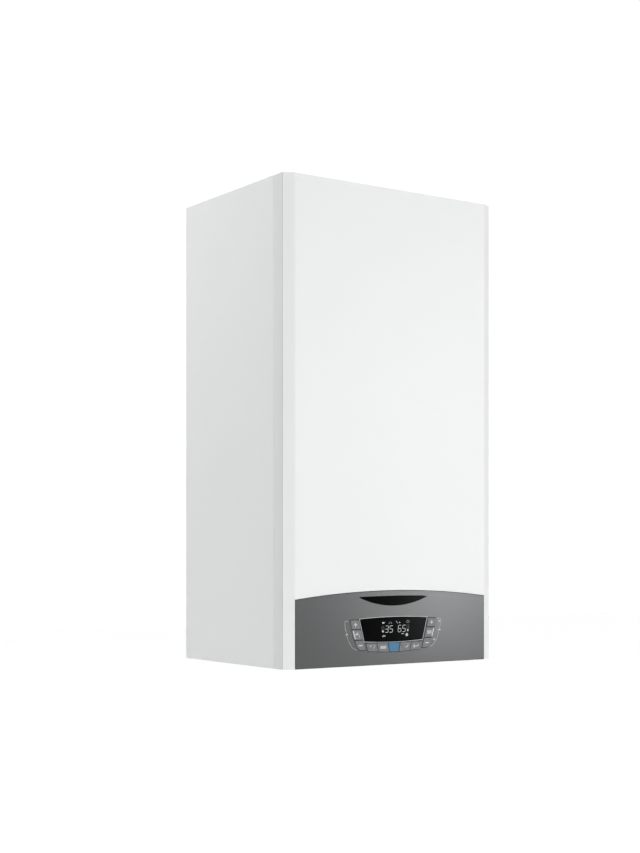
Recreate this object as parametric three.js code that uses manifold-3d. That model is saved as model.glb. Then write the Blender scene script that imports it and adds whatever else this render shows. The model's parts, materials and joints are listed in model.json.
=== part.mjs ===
// Wall-hung combi boiler: a sheet-metal casing with a swing-down control panel,
// around a condensing heat exchanger, fan, gas valve, pump group, plate heat
// exchanger, diverter valve and expansion vessel.
// Millimetres, +Z up, front facing -Y. The origin is the centre of the wall
// bracket's rear face, on the wall plane.
import * as THREE from "three";
import { mergeVertices } from "three/addons/utils/BufferGeometryUtils.js";
import Module from "manifold-3d";

const wasm = await Module();
wasm.setup();

// ---------------------------------------------------------------- dimensions
const W = 400; // casing width
const H = 745; // casing height
const FRONT = -319; // front face of the casing, from the wall
const REAR = -9; // rear edge of the side panels
const HANG_Z = 680; // bracket centre above the bottom of the casing
const HW = W / 2;
const SHEET = 1.5; // casing sheet
const CHAMFER_X = 16.7; // front corner chamfer, across
const CHAMFER_Y = 8; // and back
const BAND_FRONT = -309.7; // front edge of the side panels
const JOG_Y = -287.6; // where the side panels step in, to flare out again towards the front
const JOG_IN = 1.1;
const FLANGE = 14; // side panel flanges
const STOP_Y = -290.4; // rear face of the flange that the front casing closes against
const TOP_FRONT = -286.6; // front edge of the top panel
const HEM_REAR = -310.4; // rear face of the front casing's hem, just in front of the side panels
const RETURN_IN = 3.1; // the front casing's side returns run this far inside the casing's sides
const SEAM = -293; // rear edge of those returns

// control panel
const FASCIA_HW = 182.6;
const FASCIA_SIDE_Z = 104.3; // height of the fascia at its sides
const FASCIA_MID_Z = 115.8; // and in the middle of its arch
const FASCIA_T = 3;
const CUT_GAP = 0.6; // front casing's cut-out round the fascia
const HINGE_Y = -307; // control panel hinge axis
const HINGE_Z = 8;
const PIN_R = 2.9;
const BOX_HW = 171; // control box behind the fascia
const BOX_REAR = -264.5;
const BOX_TOP = 88;
const BOX_WALL = 2;
const KEY_PROUD = 1.4; // keys stand in front of the fascia
const KEY_T = 4.6;
const KEY_GAP = 0.8;

// display window, half of a symmetrical outline: corners and mid heights
const WIN = { topX: 64.5, topZ: 71.8, topMid: 74, botX: 56, botZ: 38, botMid: 36 };
// black inlay at the top of the fascia
const INLAY = { x: 65, z: 106.6, topMid: 107.6, botMid: 92 };

// key outlines on the right-hand side, (x, z), mirrored for the left
const KEY_PLUS = [[67.2, 71.2], [83.8, 71.2], [79.9, 57.0], [64.0, 57.0]];
const KEY_MODE = [[63.5, 56.1], [80.0, 56.1], [75.5, 40.5], [59.4, 40.5]];
const KEY_MINUS = [[58.9, 39.6], [74.7, 39.6], [69.6, 27.4], [64.2, 24.2], [54.9, 24.2]];
// bottom row: x at the top edge and at the bottom edge of each divider
const ROW_TOP_X = [-54.2, -33.4, -11.8, 11.8, 33.4, 54.2];
const ROW_BOT_X = [-50.5, -30.3, -8.9, 8.9, 30.3, 50.5];
const ROW_TOP_Z = 34.4;
const ROW_BOT_Z = [22.4, 20.9, 20.0, 20.0, 20.9, 22.4];

// flue
const FLUE_Y = -160;
const FLUE_R = 33; // inner flue duct, outside
const FLUE_WALL = 2;
const COLLAR_R = 50; // bore of the outer collar, takes a 100 mm pipe
const CAP_X = 118;
const CAP_R = 42;

// heat exchanger
const HE_Z = 500;
const HE_R = 108;
const HE_FRONT = -250;
const HE_REAR = -96;
const HE_WALL = 4;
const BURNER_R = 32;

// fan
const FAN_X = -118;
const FAN_Z = 668;
const FAN_FRONT = -288;
const FAN_REAR = -256;
const FAN_OUT = [-96, -56]; // outlet channel, from and to x
const MOUTH_Z = 618;
const IMPELLER_R = 40;

// pipe tails, from left to right
const TAIL_Y = -135;
const TAIL_X = { ch_flow: -133, dhw_outlet: -67, gas: 0, cold_inlet: 67, ch_return: 133 };
const TAIL_END = 2; // height of the tail ends above the bottom of the casing
const G34 = { r: 13.2, bore: 9 }; // 3/4 inch thread
const G12 = { r: 10.5, bore: 7 }; // 1/2 inch thread
const PLATE_Z = 14; // bottom plate
const PLATE_T = 2;
const PLATE_FRONT = -257;

// pump
const PUMP_X = 133;
const PUMP_Z = 120;
const GAP = 0.3; // clearance between touching pieces

// ------------------------------------------------------------------- helpers
// A three.js geometry as a solid.
function solid(geometry) {
  const g = geometry.index ? geometry.toNonIndexed() : geometry.clone();
  for (const n of Object.keys(g.attributes)) if (n !== "position") g.deleteAttribute(n);
  const m = mergeVertices(g, 1e-4);
  const tri = [];
  const idx = m.index.array;
  for (let i = 0; i < idx.length; i += 3) {
    const [a, b, c] = [idx[i], idx[i + 1], idx[i + 2]];
    if (a !== b && b !== c && a !== c) tri.push(a, b, c);
  }
  const make = (t) =>
    new wasm.Manifold(
      new wasm.Mesh({
        numProp: 3,
        vertProperties: m.attributes.position.array,
        triVerts: new Uint32Array(t),
      }),
    );
  let s = make(tri);
  if (s.volume() < 0) {
    for (let i = 0; i < tri.length; i += 3) [tri[i + 1], tri[i + 2]] = [tri[i + 2], tri[i + 1]];
    s = make(tri);
  }
  return s;
}

const add = (...s) => s.reduce((a, b) => a.add(b));
const cut = (a, ...s) => s.reduce((x, y) => x.subtract(y), a);

// A box by its limits.
function box(x0, x1, y0, y1, z0, z1) {
  return solid(
    new THREE.BoxGeometry(x1 - x0, y1 - y0, z1 - z0).translate((x0 + x1) / 2, (y0 + y1) / 2, (z0 + z1) / 2),
  );
}

// An outline of [a, b] points, extruded. along "z": (a, b) = (x, y); "y": (x, z); "x": (y, z).
function prism(points, along, from, to, holes = []) {
  const shape = new THREE.Shape(points.map(([a, b]) => new THREE.Vector2(a, b)));
  for (const h of holes) shape.holes.push(new THREE.Path(h.map(([a, b]) => new THREE.Vector2(a, b))));
  const g = new THREE.ExtrudeGeometry(shape, { depth: to - from, bevelEnabled: false });
  g.translate(0, 0, from);
  const m = new THREE.Matrix4();
  if (along === "y") m.set(1, 0, 0, 0, 0, 0, 1, 0, 0, 1, 0, 0, 0, 0, 0, 1);
  if (along === "x") m.set(0, 0, 1, 0, 1, 0, 0, 0, 0, 1, 0, 0, 0, 0, 0, 1);
  g.applyMatrix4(m);
  return solid(g);
}

// A turned shape: profile of [radius, distance along the axis], closed or from axis to axis.
function turned(profile, axis, seg, cx = 0, cy = 0, cz = 0) {
  const g = new THREE.LatheGeometry(profile.map(([r, h]) => new THREE.Vector2(r, h)), seg);
  // the lathe turns about Y: stand it on the wanted axis
  if (axis === "z") g.rotateX(Math.PI / 2);
  if (axis === "x") g.rotateZ(-Math.PI / 2);
  g.translate(cx, cy, cz);
  return solid(g);
}
const rod = (r, h0, h1, axis, seg, cx, cy, cz) =>
  turned([[0, h0], [r, h0], [r, h1], [0, h1]], axis, seg, cx, cy, cz);
const ring = (r0, r1, h0, h1, axis, seg, cx, cy, cz) =>
  turned([[r0, h0], [r1, h0], [r1, h1], [r0, h1], [r0, h0]], axis, seg, cx, cy, cz);

// A round pipe along a rounded route.
function pipe(points, r, steps, sides, tension = 0.35) {
  const curve = new THREE.CatmullRomCurve3(points.map((p) => new THREE.Vector3(...p)), false, "catmullrom", tension);
  const section = new THREE.Shape(
    Array.from({ length: sides }, (_, i) => {
      const a = (2 * Math.PI * i) / sides;
      return new THREE.Vector2(r * Math.cos(a), r * Math.sin(a));
    }),
  );
  return solid(new THREE.ExtrudeGeometry(section, { steps, bevelEnabled: false, extrudePath: curve }));
}

// Points of an arc through three heights: ends at z0, middle at zm, from x0 to x1.
function arch(x0, x1, z0, zm, n) {
  const half = Math.abs(x1 - x0) / 2;
  const mid = (x0 + x1) / 2;
  const sag = zm - z0;
  const R = (half * half + sag * sag) / (2 * Math.abs(sag));
  return Array.from({ length: n + 1 }, (_, i) => {
    const x = x0 + ((x1 - x0) * i) / n;
    const d = Math.sqrt(R * R - (x - mid) ** 2) - (R - Math.abs(sag));
    return [x, z0 + Math.sign(sag) * d];
  });
}
const mirrored = (pts) => pts.map(([x, z]) => [-x, z]).reverse();

// Moves each edge of a convex outline outwards by d.
function grown(points, d) {
  const n = points.length;
  let area = 0;
  points.forEach(([x, z], i) => {
    const [u, v] = points[(i + 1) % n];
    area += x * v - u * z;
  });
  const s = area > 0 ? 1 : -1;
  const lines = points.map(([x, z], i) => {
    const [u, v] = points[(i + 1) % n];
    const l = Math.hypot(u - x, v - z);
    const nx = (s * (v - z)) / l;
    const nz = (-s * (u - x)) / l;
    return { x: x + nx * d, z: z + nz * d, dx: u - x, dz: v - z };
  });
  return lines.map((b, i) => {
    const a = lines[(i + n - 1) % n];
    const det = a.dx * b.dz - a.dz * b.dx;
    const t = ((b.x - a.x) * b.dz - (b.z - a.z) * b.dx) / det;
    return [a.x + a.dx * t, a.z + a.dz * t];
  });
}

const FINISH = {
  white_enamel: [0xf4f5f5, 0.45, 0.0],
  galvanised: [0xb6babd, 0.5, 0.8],
  panel_grey: [0x84868a, 0.45, 0.3],
  key_grey: [0x8d9094, 0.5, 0.2],
  key_blue: [0x4d96bd, 0.5, 0.0],
  gloss_black: [0x0a0a0b, 0.12, 0.0],
  black_plastic: [0x232427, 0.55, 0.0],
  grey_plastic: [0x9a9da0, 0.55, 0.0],
  circuit_green: [0x1f6b45, 0.6, 0.0],
  cast_aluminium: [0xb9bcbf, 0.55, 0.85],
  stainless: [0xc3c6c9, 0.3, 0.95],
  brass: [0xb08d4f, 0.35, 0.9],
  copper: [0xb46a43, 0.35, 0.9],
  vessel_red: [0xa8332c, 0.45, 0.1],
  cast_iron: [0x3a3d40, 0.6, 0.4],
  knob_red: [0xb3261e, 0.5, 0.0],
  knob_black: [0x18191b, 0.5, 0.0],
  rubber: [0x1d1d1f, 0.85, 0.0],
  ceramic: [0xe9e6dc, 0.4, 0.0],
};
const materials = Object.fromEntries(
  Object.entries(FINISH).map(([name, [color, roughness, metalness]]) => [
    name,
    new THREE.MeshStandardMaterial({ name, color, roughness, metalness }),
  ]),
);

// Adds a solid to a group as one named mesh.
function piece(group, name, s, finish, position = [0, 0, 0]) {
  const m = s.getMesh();
  const n = m.numProp;
  const v = new Float32Array(m.numVert * 3);
  for (let i = 0; i < m.numVert; i++) v.set(m.vertProperties.subarray(i * n, i * n + 3), i * 3);
  const g = new THREE.BufferGeometry()
    .setAttribute("position", new THREE.BufferAttribute(v, 3))
    .setIndex(new THREE.BufferAttribute(m.triVerts, 1));
  g.computeVertexNormals();
  const mesh = new THREE.Mesh(g, materials[finish]);
  mesh.name = name;
  mesh.position.set(...position);
  group.add(mesh);
  return mesh;
}
function assembly(parent, x = 0, y = 0, z = 0) {
  const g = new THREE.Group();
  g.position.set(x, y, z);
  parent.add(g);
  return g;
}

const boiler = new THREE.Group();
const casing = assembly(boiler, 0, 0, -HANG_Z); // heights from the bottom of the casing

// ----------------------------------------------------- wall bracket and frame
{
  // the rail on the wall, with two hooks bent forward and up, and four fixing holes
  const rail = box(-160, 160, -2, 0, HANG_Z - 25, HANG_Z + 25);
  const hook = (x) =>
    add(box(x - 17, x + 17, -13, -1, 697, 699), box(x - 17, x + 17, -13, -11, 698, 709));
  const holes = [-140, -50, 50, 140].map((x) => rod(4, -4, 2, "y", 10, x, 0, HANG_Z));
  piece(casing, "wall_bracket", cut(add(rail, hook(-110), hook(110)), ...holes), "galvanised");
}
{
  // rear plate with the hook slots, two pressed ribs and two feet that reach the wall
  const plate = box(-197.5, 197.5, -8.6, -6.6, 2, 743);
  const rib = (x) => box(x - 9, x + 9, -7, -3.6, 90, 630);
  const foot = (x) => box(x - 16, x + 16, -7, 0, 36, 66);
  const slot = (x) => box(x - 21, x + 21, -10, -5, 685, 699 + GAP);
  piece(
    casing,
    "back_frame",
    cut(add(plate, rib(-62), rib(62), foot(-150), foot(150)), slot(-110), slot(110)),
    "galvanised",
  );
}

// -------------------------------------------------------------- casing panels
for (const [name, s] of [["left_side_panel", -1], ["right_side_panel", 1]]) {
  const o = HW;
  const jogEnd = JOG_Y - 2.7;
  const outline = [
    [o, REAR], [o, JOG_Y], [o - JOG_IN, jogEnd], [o - 0.1, BAND_FRONT], [o - 0.1 - SHEET, BAND_FRONT],
    [o - JOG_IN - SHEET, jogEnd + 0.2], [o - SHEET, JOG_Y + 0.4],
    [o - SHEET, REAR - SHEET], [o - FLANGE, REAR - SHEET], [o - FLANGE, REAR],
  ].map(([x, y]) => [s * x, y]);
  const sided = (x0, x1, ...rest) => box(Math.min(s * x0, s * x1), Math.max(s * x0, s * x1), ...rest);
  const flange = sided(o - FLANGE, o - JOG_IN - SHEET + 0.5, STOP_Y - SHEET, STOP_Y, 0, H);
  piece(
    casing,
    name,
    cut(
      add(prism(outline, "z", 0, H), flange),
      sided(o - 30, o - SHEET + 0.1, JOG_Y + 1.3, 0, H - 2, H + 1), // room for the top panel
      sided(o - 30, o - JOG_IN - SHEET - 0.05, STOP_Y - 2.6, JOG_Y + 1.3, H - 2, H + 1), // and the front casing's lid
    ),
    "white_enamel",
  );
}
{
  const plate = box(-HW + SHEET + GAP, HW - SHEET - GAP, TOP_FRONT, REAR - 0.2, H - SHEET, H);
  const lip = (y) => box(-HW + 18, HW - 18, y, y + SHEET, H - 12, H - 1);
  piece(
    casing,
    "top_panel",
    cut(
      add(plate, lip(TOP_FRONT), lip(REAR - 0.2 - SHEET)),
      rod(COLLAR_R + 2, H - 5, H + 5, "z", 32, 0, FLUE_Y, 0),
      rod(CAP_R - 6, H - 5, H + 5, "z", 24, CAP_X, FLUE_Y, 0),
    ),
    "white_enamel",
  );
}
{
  // bottom plate: five pipe holes, condensate, filling tap and cable holes, and two hinge ears
  const plate = box(-HW + SHEET + GAP, HW - SHEET - GAP, PLATE_FRONT, REAR - 2, PLATE_Z, PLATE_Z + PLATE_T);
  const ear = (s) =>
    cut(
      prism([[-313, 2.5], [-250, 2.5], [-250, 16], [-313, 16]], "x", s > 0 ? 174 : -176, s > 0 ? 176 : -174),
      rod(PIN_R + 0.5, -180, 180, "x", 12, 0, HINGE_Y, HINGE_Z),
    );
  const hole = (x, y, r, n) => rod(r, 10, 20, "z", n, x, y, 0); // through the plate
  piece(
    casing,
    "bottom_plate",
    cut(
      add(plate, ear(-1), ear(1)),
      ...Object.entries(TAIL_X).map(([k, x]) => hole(x, TAIL_Y, (/^(ch|gas)/.test(k) ? G34.r : G12.r) + 4, 12)),
      hole(48, -215, 11.5, 12),
      hole(100, -150, 6, 10),
      hole(-168, -215, 8.6, 12),
    ),
    "galvanised",
  );
}
{
  // front casing: flat front, chamfered edges, returns that run inside the side panels, closed top, arched cut-out below
  const o = HW;
  const c = HW - CHAMFER_X;
  const r = HW - RETURN_IN;
  const edge = [[r, HEM_REAR], [o, HEM_REAR], [o, FRONT + CHAMFER_Y], [c, FRONT]];
  const inside = [[c - 0.35, FRONT + SHEET], [r - SHEET, -311.54], [r - SHEET, SEAM], [r, SEAM]];
  const flip = (points) => points.map(([x, y]) => [-x, y]).reverse();
  const shell = prism([...edge, ...flip(edge), ...flip(inside), ...inside], "z", 0, H - 0.5);
  const lid = prism([...edge, ...flip(edge), [-r, TOP_FRONT - 0.8], [r, TOP_FRONT - 0.8]], "z", H - SHEET, H);
  const opening = prism(
    [
      [-FASCIA_HW - CUT_GAP, -5],
      ...arch(-FASCIA_HW - CUT_GAP, FASCIA_HW + CUT_GAP, FASCIA_SIDE_Z + CUT_GAP, FASCIA_MID_Z + CUT_GAP, 24),
      [FASCIA_HW + CUT_GAP, -5],
    ],
    "y",
    FRONT - 5,
    FRONT + 5,
  );
  piece(casing, "front_casing", cut(add(shell, lid), opening), "white_enamel");
}

// ---------------------------------------------------------------- roof pieces
piece(
  casing,
  "flue_collar",
  turned(
    [[COLLAR_R, 0.3], [COLLAR_R + 14, 0.3], [COLLAR_R + 14, 2.3], [COLLAR_R + 3, 2.3], [COLLAR_R + 3, 13], [COLLAR_R, 13], [COLLAR_R, 0.3]],
    "z", 32,
  ),
  "black_plastic",
  [0, FLUE_Y, H],
);
piece(
  casing,
  "air_intake_cap",
  turned([[0, -6], [CAP_R - 6.5, -6], [CAP_R - 6.5, 0.3], [CAP_R, 0.3], [CAP_R, 2.6], [CAP_R - 3, 5], [0, 5]], "z", 24),
  "black_plastic",
  [CAP_X, FLUE_Y, H],
);
piece(
  casing,
  "flue_duct",
  ring(FLUE_R - FLUE_WALL, FLUE_R, HE_Z + HE_R + 22 + GAP, H + 12, "z", 24, 0, FLUE_Y, 0),
  "grey_plastic",
);

// ------------------------------------------------------------- heat exchanger
const combustion = assembly(casing, 0, 0, HE_Z);
{
  // cup-shaped shell, open at the front, with the flue spigot, two water ports and the condensate spout
  const cavity = rod(HE_R - HE_WALL, HE_FRONT - 1, HE_REAR - HE_WALL, "y", 32);
  const body = add(
    rod(HE_R, HE_FRONT, HE_REAR, "y", 32),
    rod(HE_R + 10, HE_FRONT, HE_FRONT + 5, "y", 32),
    rod(36, HE_R - 20, HE_R + 22, "z", 20, 0, FLUE_Y, 0),
    rod(11, -120, -80, "z", 10, -60, -150, 0),
    rod(11, -120, -80, "z", 10, 60, -150, 0),
    rod(9, -120, -90, "z", 10, 48, -215, 0),
  );
  piece(
    combustion,
    "heat_exchanger_shell",
    cut(body, cavity, rod(31, 80, HE_R + 30, "z", 20, 0, FLUE_Y, 0)),
    "cast_aluminium",
  );
  // the water coil, a ring of seven flattened turns
  const turns = 7;
  const pitch = 19;
  const profile = [[90, -242]];
  for (let i = 0; i < turns; i++) {
    const y = -242 + i * pitch;
    profile.push([101, y + 1], [97, y + pitch - 2]);
  }
  profile.push([90, -242 + turns * pitch], [90, -242]);
  piece(combustion, "heat_exchanger_coil", turned(profile, "y", 20), "stainless");
  // burner tube: flange, skirt and closed end
  piece(
    combustion,
    "burner_tube",
    turned(
      [[BURNER_R - 2, -250], [42, -250], [42, -247.5], [BURNER_R, -247.5], [BURNER_R, -140], [0, -140], [0, -142], [BURNER_R - 2, -142], [BURNER_R - 2, -250]],
      "y", 20,
    ),
    "stainless",
  );
  // burner door: cover plate with a cast channel that brings the mixture from the fan
  const plateFront = HE_FRONT - GAP - 9;
  const mouth = MOUTH_Z - HE_Z - GAP;
  const round = (r, a0, a1, n) =>
    Array.from({ length: n + 1 }, (_, i) => {
      const a = ((a0 + ((a1 - a0) * i) / n) * Math.PI) / 180;
      return [r * Math.cos(a), r * Math.sin(a)];
    });
  const channel = (r, d, top) => [...round(r, -155, 25, 12), [FAN_OUT[1] - d, mouth - 22], [FAN_OUT[1] - d, top], [FAN_OUT[0] + d, top], [FAN_OUT[0] + d, mouth - 22]];
  piece(
    combustion,
    "burner_door",
    cut(
      add(rod(HE_R + 8, plateFront, HE_FRONT - GAP, "y", 32), prism(channel(40, 0, mouth), "y", plateFront - 27, plateFront + 1)),
      prism(channel(36, 4, mouth + 1), "y", plateFront - 23, plateFront + 0.1),
      rod(28, plateFront - 5, HE_FRONT + 1, "y", 20),
      rod(5.6, plateFront - 5, HE_FRONT + 1, "y", 10, 45, 0, -27),
    ),
    "cast_aluminium",
  );
  // ignition electrode: ceramic body through the door, two rods beside the burner
  piece(
    combustion,
    "ignition_electrode",
    add(rod(5, plateFront - 22, HE_FRONT + 8, "y", 10, 45, 0, -27), rod(7, plateFront - 5, plateFront - GAP, "y", 10, 45, 0, -27), box(43.6, 45, -243, -205, -28.5, -26.5), box(46, 47.4, -243, -205, -28.5, -26.5)),
    "ceramic",
  );
}

// ------------------------------------------------------------------------ fan
const fan = assembly(casing, FAN_X, 0, FAN_Z);
{
  const out0 = FAN_OUT[0] - FAN_X;
  const out1 = FAN_OUT[1] - FAN_X;
  const mouth = MOUTH_Z - FAN_Z;
  // scroll that widens from the tongue below, round the left and top, to the outlet on the right
  const scroll = (d, end) => {
    const pts = [];
    for (let i = 0; i <= 18; i++) {
      const a = (i / 18) * 300;
      const r = 62 - (14 * i) / 18 - d;
      pts.push([r * Math.cos((a * Math.PI) / 180), r * Math.sin((a * Math.PI) / 180)]);
    }
    return [...pts, [out0 + d, -48], [out0 + d, end], [out1 - d, end]];
  };
  piece(
    fan,
    "fan_housing",
    cut(
      prism(scroll(0, mouth), "y", FAN_FRONT, FAN_REAR),
      prism(scroll(3, mouth - 1), "y", FAN_FRONT + 3, FAN_REAR - 3),
      rod(22, FAN_FRONT - 1, FAN_FRONT + 5, "y", 20),
      rod(7, FAN_REAR - 5, FAN_REAR + 1, "y", 12),
    ),
    "cast_aluminium",
  );
  const blade = solid(new THREE.BoxGeometry(20, 17, 1.6).translate(28, -272.6, 0));
  const blades = Array.from({ length: 9 }, (_, i) => blade.rotate([0, (i * 360) / 9, 0]));
  piece(
    fan,
    "fan_impeller",
    add(
      turned([[0, -280], [10, -280], [10, -265], [IMPELLER_R, -265], [IMPELLER_R, -262.5], [4, -262.5], [4, -244], [0, -244]], "y", 24),
      ...blades,
    ),
    "black_plastic",
  );
  piece(
    fan,
    "fan_motor",
    cut(
      turned([[0, FAN_REAR + GAP], [44, FAN_REAR + GAP], [44, FAN_REAR + 6], [40, FAN_REAR + 8], [40, -214], [34, -206], [0, -206]], "y", 24),
      rod(5.2, FAN_REAR - 1, -240, "y", 12),
    ),
    "black_plastic",
  );
  // mixer at the fan inlet: a short round chamber with a side inlet from the silencer and a gas stub below
  piece(
    fan,
    "gas_air_mixer",
    cut(
      add(rod(30, -313, FAN_FRONT - GAP, "y", 24), rod(9, -40, -22, "z", 10, 0, -301, 0)),
      rod(20, -308, FAN_FRONT + 1, "y", 20),
      rod(9, -40, 0, "x", 12, 0, -299, 0),
      rod(5, -42, -10, "z", 10, 0, -301, 0),
    ),
    "cast_aluminium",
  );
}
piece(
  casing,
  "air_silencer",
  cut(
    prism([[-185, 452], [-177, 444], [-157, 444], [-149, 452], [-149, 692], [-157, 700], [-177, 700], [-185, 692]], "y", -312, -289.5),
    box(-179, -155, -308, -294, 440, 456),
  ),
  "black_plastic",
);

// ------------------------------------------------------------------- gas line
{
  // gas valve: cast block with two coils, an inlet boss below and an outlet boss above
  piece(
    casing,
    "gas_valve",
    add(
      box(-75, -5, -235, -165, 170, 236),
      rod(17, 235, 262, "z", 14, -26, -200, 0),
      rod(12, 235, 250, "z", 12, -57, -200, 0),
      rod(14, 158, 171, "z", 12, -40, -200, 0),
    ),
    "cast_aluminium",
  );
  piece(
    casing,
    "gas_pipe",
    pipe(
      [[-57, -200, 250.3], [-57, -200, 275], [-70, -230, 305], [-112, -284, 330], [-124, -299, 370], [-124, -301, 480], [-121, -301, 590], [-118, -301, 612], [-118, -301, 627.7]],
      6, 18, 8,
    ),
    "copper",
  );
}

// ------------------------------------------------------------ expansion vessel
{
  const w = 95;
  const outline = (d) => {
    const pts = [];
    for (const [cx, cz, a0] of [[w - 40, 650, 0], [-w + 40, 650, 90], [-w + 40, 290, 180], [w - 40, 290, 270]])
      for (let i = 0; i <= 4; i++) {
        const a = ((a0 + i * 22.5) * Math.PI) / 180;
        pts.push([cx + (40 - d) * Math.cos(a), cz + (40 - d) * Math.sin(a)]);
      }
    return pts;
  };
  piece(
    casing,
    "expansion_vessel",
    cut(
      add(
        prism(outline(8), "y", -92, -82),
        prism(outline(0), "y", -83, -26),
        prism(outline(-2.5), "y", -57, -53),
        prism(outline(8), "y", -27, -15),
        rod(8, 240, 256, "z", 10, 60, -55, 0),
      ),
      prism(outline(10.5), "y", -90, -17),
      prism(outline(2.5), "y", -80.5, -28.5),
      rod(4.5, 238, 296, "z", 8, 60, -55, 0), // port, through to the water side
    ),
    "vessel_red",
  );
  piece(
    casing,
    "vessel_hose",
    pipe([[60, -55, 239.7], [60, -55, 215], [66, -56, 182], [86, -58, 150], [105, -60, 134], [111, -70, 130], [111, -85.6, 130]], 5.5, 14, 8),
    "rubber",
  );
}

// ----------------------------------------------------------------- pipe tails
// A threaded tail with a nut, about its own axis, from the end face up to a given height.
function tail(size, top, seg = 16) {
  const { r, bore } = size;
  const z = TAIL_END;
  return [
    [bore, z], [r - 1, z], [r, z + 1], [r, z + 9], [r + 2.6, z + 9.4], [r + 2.6, z + 17], [r - 1.5, z + 17.4], [r - 1.5, top], [bore, top], [bore, z],
  ];
}
const tails = assembly(casing, 0, TAIL_Y, 0);
piece(tails, "ch_flow_tail", turned(tail(G34, 29.7), "z", 16), "brass", [TAIL_X.ch_flow, 0, 0]);
piece(tails, "ch_return_tail", turned(tail(G34, 29.7), "z", 16), "brass", [TAIL_X.ch_return, 0, 0]);
piece(
  tails,
  "dhw_outlet_tail",
  add(turned(tail(G12, 30), "z", 16), pipe([[0, 0, 28], [0, 0, 60], [0, 3, 72], [0, 12, 80], [0, 29.4, 80]], 8, 9, 8)),
  "brass",
  [TAIL_X.dhw_outlet, 0, 0],
);
piece(
  tails,
  "gas_tail",
  add(
    turned(tail(G34, 32), "z", 16),
    pipe([[0, 0, 30], [0, 0, 52], [-8, -14, 78], [-32, -52, 112], [-40, -65, 136], [-40, -65, 157.5]], 10, 12, 10),
  ),
  "brass",
  [TAIL_X.gas, 0, 0],
);
piece(
  tails,
  "cold_inlet_tail",
  cut(
    add(
      turned(tail(G12, 30), "z", 16),
      pipe([[0, 0, 28], [0, 0, 60], [0, 3, 72], [0, 12, 80], [0, 29.4, 80]], 8, 9, 8),
      box(3, 44, -24, -6, 22, 42), // filling tap body
    ),
    rod(G12.bore, TAIL_END - 1, 28, "z", 16),
    rod(4.4, 20, 36, "z", 12, 33, -15, 0),
  ),
  "brass",
  [TAIL_X.cold_inlet, 0, 0],
);
// filling tap knob: stem up into the tap body, lobed knob below the plate
{
  const lobe = Array.from({ length: 16 }, (_, i) => {
    const a = (i / 16) * 2 * Math.PI;
    const r = i % 2 ? 12 : 13.6;
    return [r * Math.cos(a), r * Math.sin(a)];
  });
  piece(casing, "filling_tap_knob", add(prism(lobe, "z", 2, 11.5), rod(4, 11, 34, "z", 12)), "knob_black", [100, -150, 0]);
}
piece(
  casing,
  "cable_gland",
  turned([[5, 5], [9, 5], [10.5, 7], [10.5, 13.7], [8.2, 13.7], [8.2, 28], [5, 28], [5, 5]], "z", 12),
  "black_plastic",
  [-168, -215, 0],
);

// ------------------------------------------------------- plate heat exchanger
{
  // stack of eight plates between two end plates, with four port collars in front
  const plates = [];
  for (let i = 0; i < 8; i++) plates.push(box(-88, 88, -103 + i * 4.6, -100.6 + i * 4.6, 40, 115));
  piece(
    casing,
    "plate_heat_exchanger",
    add(box(-85, 85, -104, -66, 43, 112), ...plates, rod(11, -105, -100, "y", 12, -67, 0, 80), rod(11, -105, -100, "y", 12, 67, 0, 80)),
    "stainless",
  );
}

// ------------------------------------------------ flow group and diverter valve
{
  piece(
    casing,
    "diverter_valve_body",
    cut(
      add(
        prism([[-160, 38], [-152, 30], [-112, 30], [-106, 36], [-106, 104], [-112, 112], [-152, 112], [-160, 104]], "y", -165, -84),
        rod(11, 108, 122, "z", 12, -133, -96, 0),
        box(-107, -88.4, -101, -86, 52, 72),
        rod(15, 108, 116, "z", 14, -137, -136, 0),
      ),
      rod(4.6, 92, 120, "z", 12, -137, -136, 0),
    ),
    "black_plastic",
  );
  piece(
    casing,
    "diverter_motor",
    cut(
      add(box(-158, -116, -160, -112, 132, 176), box(-158, -152, -160, -112, 112.3, 133), box(-122, -116, -160, -112, 112.3, 133)),
      rod(4.6, 130, 158, "z", 12, -137, -136, 0),
    ),
    "grey_plastic",
  );
  piece(casing, "diverter_spindle", add(rod(4, 96, 146, "z", 12), rod(9, 117, 121, "z", 12)), "brass", [-137, -136, 0]);
  // relief valve: brass body in front of the flow group, discharge outlet down
  piece(
    casing,
    "relief_valve",
    add(
      turned([[0, -192], [9, -192], [11, -189], [11, -178], [14, -177], [14, -168], [11, -167], [11, -165.3], [0, -165.3]], "y", 12, -146, 0, 62),
      rod(7, 30, 58, "z", 10, -146, -181, 0),
    ),
    "brass",
  );
  const flutes = Array.from({ length: 20 }, (_, i) => {
    const a = (i / 20) * 2 * Math.PI;
    const r = i % 2 ? 13.8 : 15.4;
    return [r * Math.cos(a), r * Math.sin(a)];
  });
  piece(casing, "relief_knob", prism(flutes, "y", -210, -192.3), "knob_red", [-146, 0, 62]);
  piece(
    casing,
    "flow_pipe",
    pipe([[-133, -96, 122.3], [-133, -96, 240], [-126, -102, 280], [-82, -136, 326], [-60, -150, 354], [-60, -150, 379]], 9, 16, 8),
    "copper",
  );
}

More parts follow.
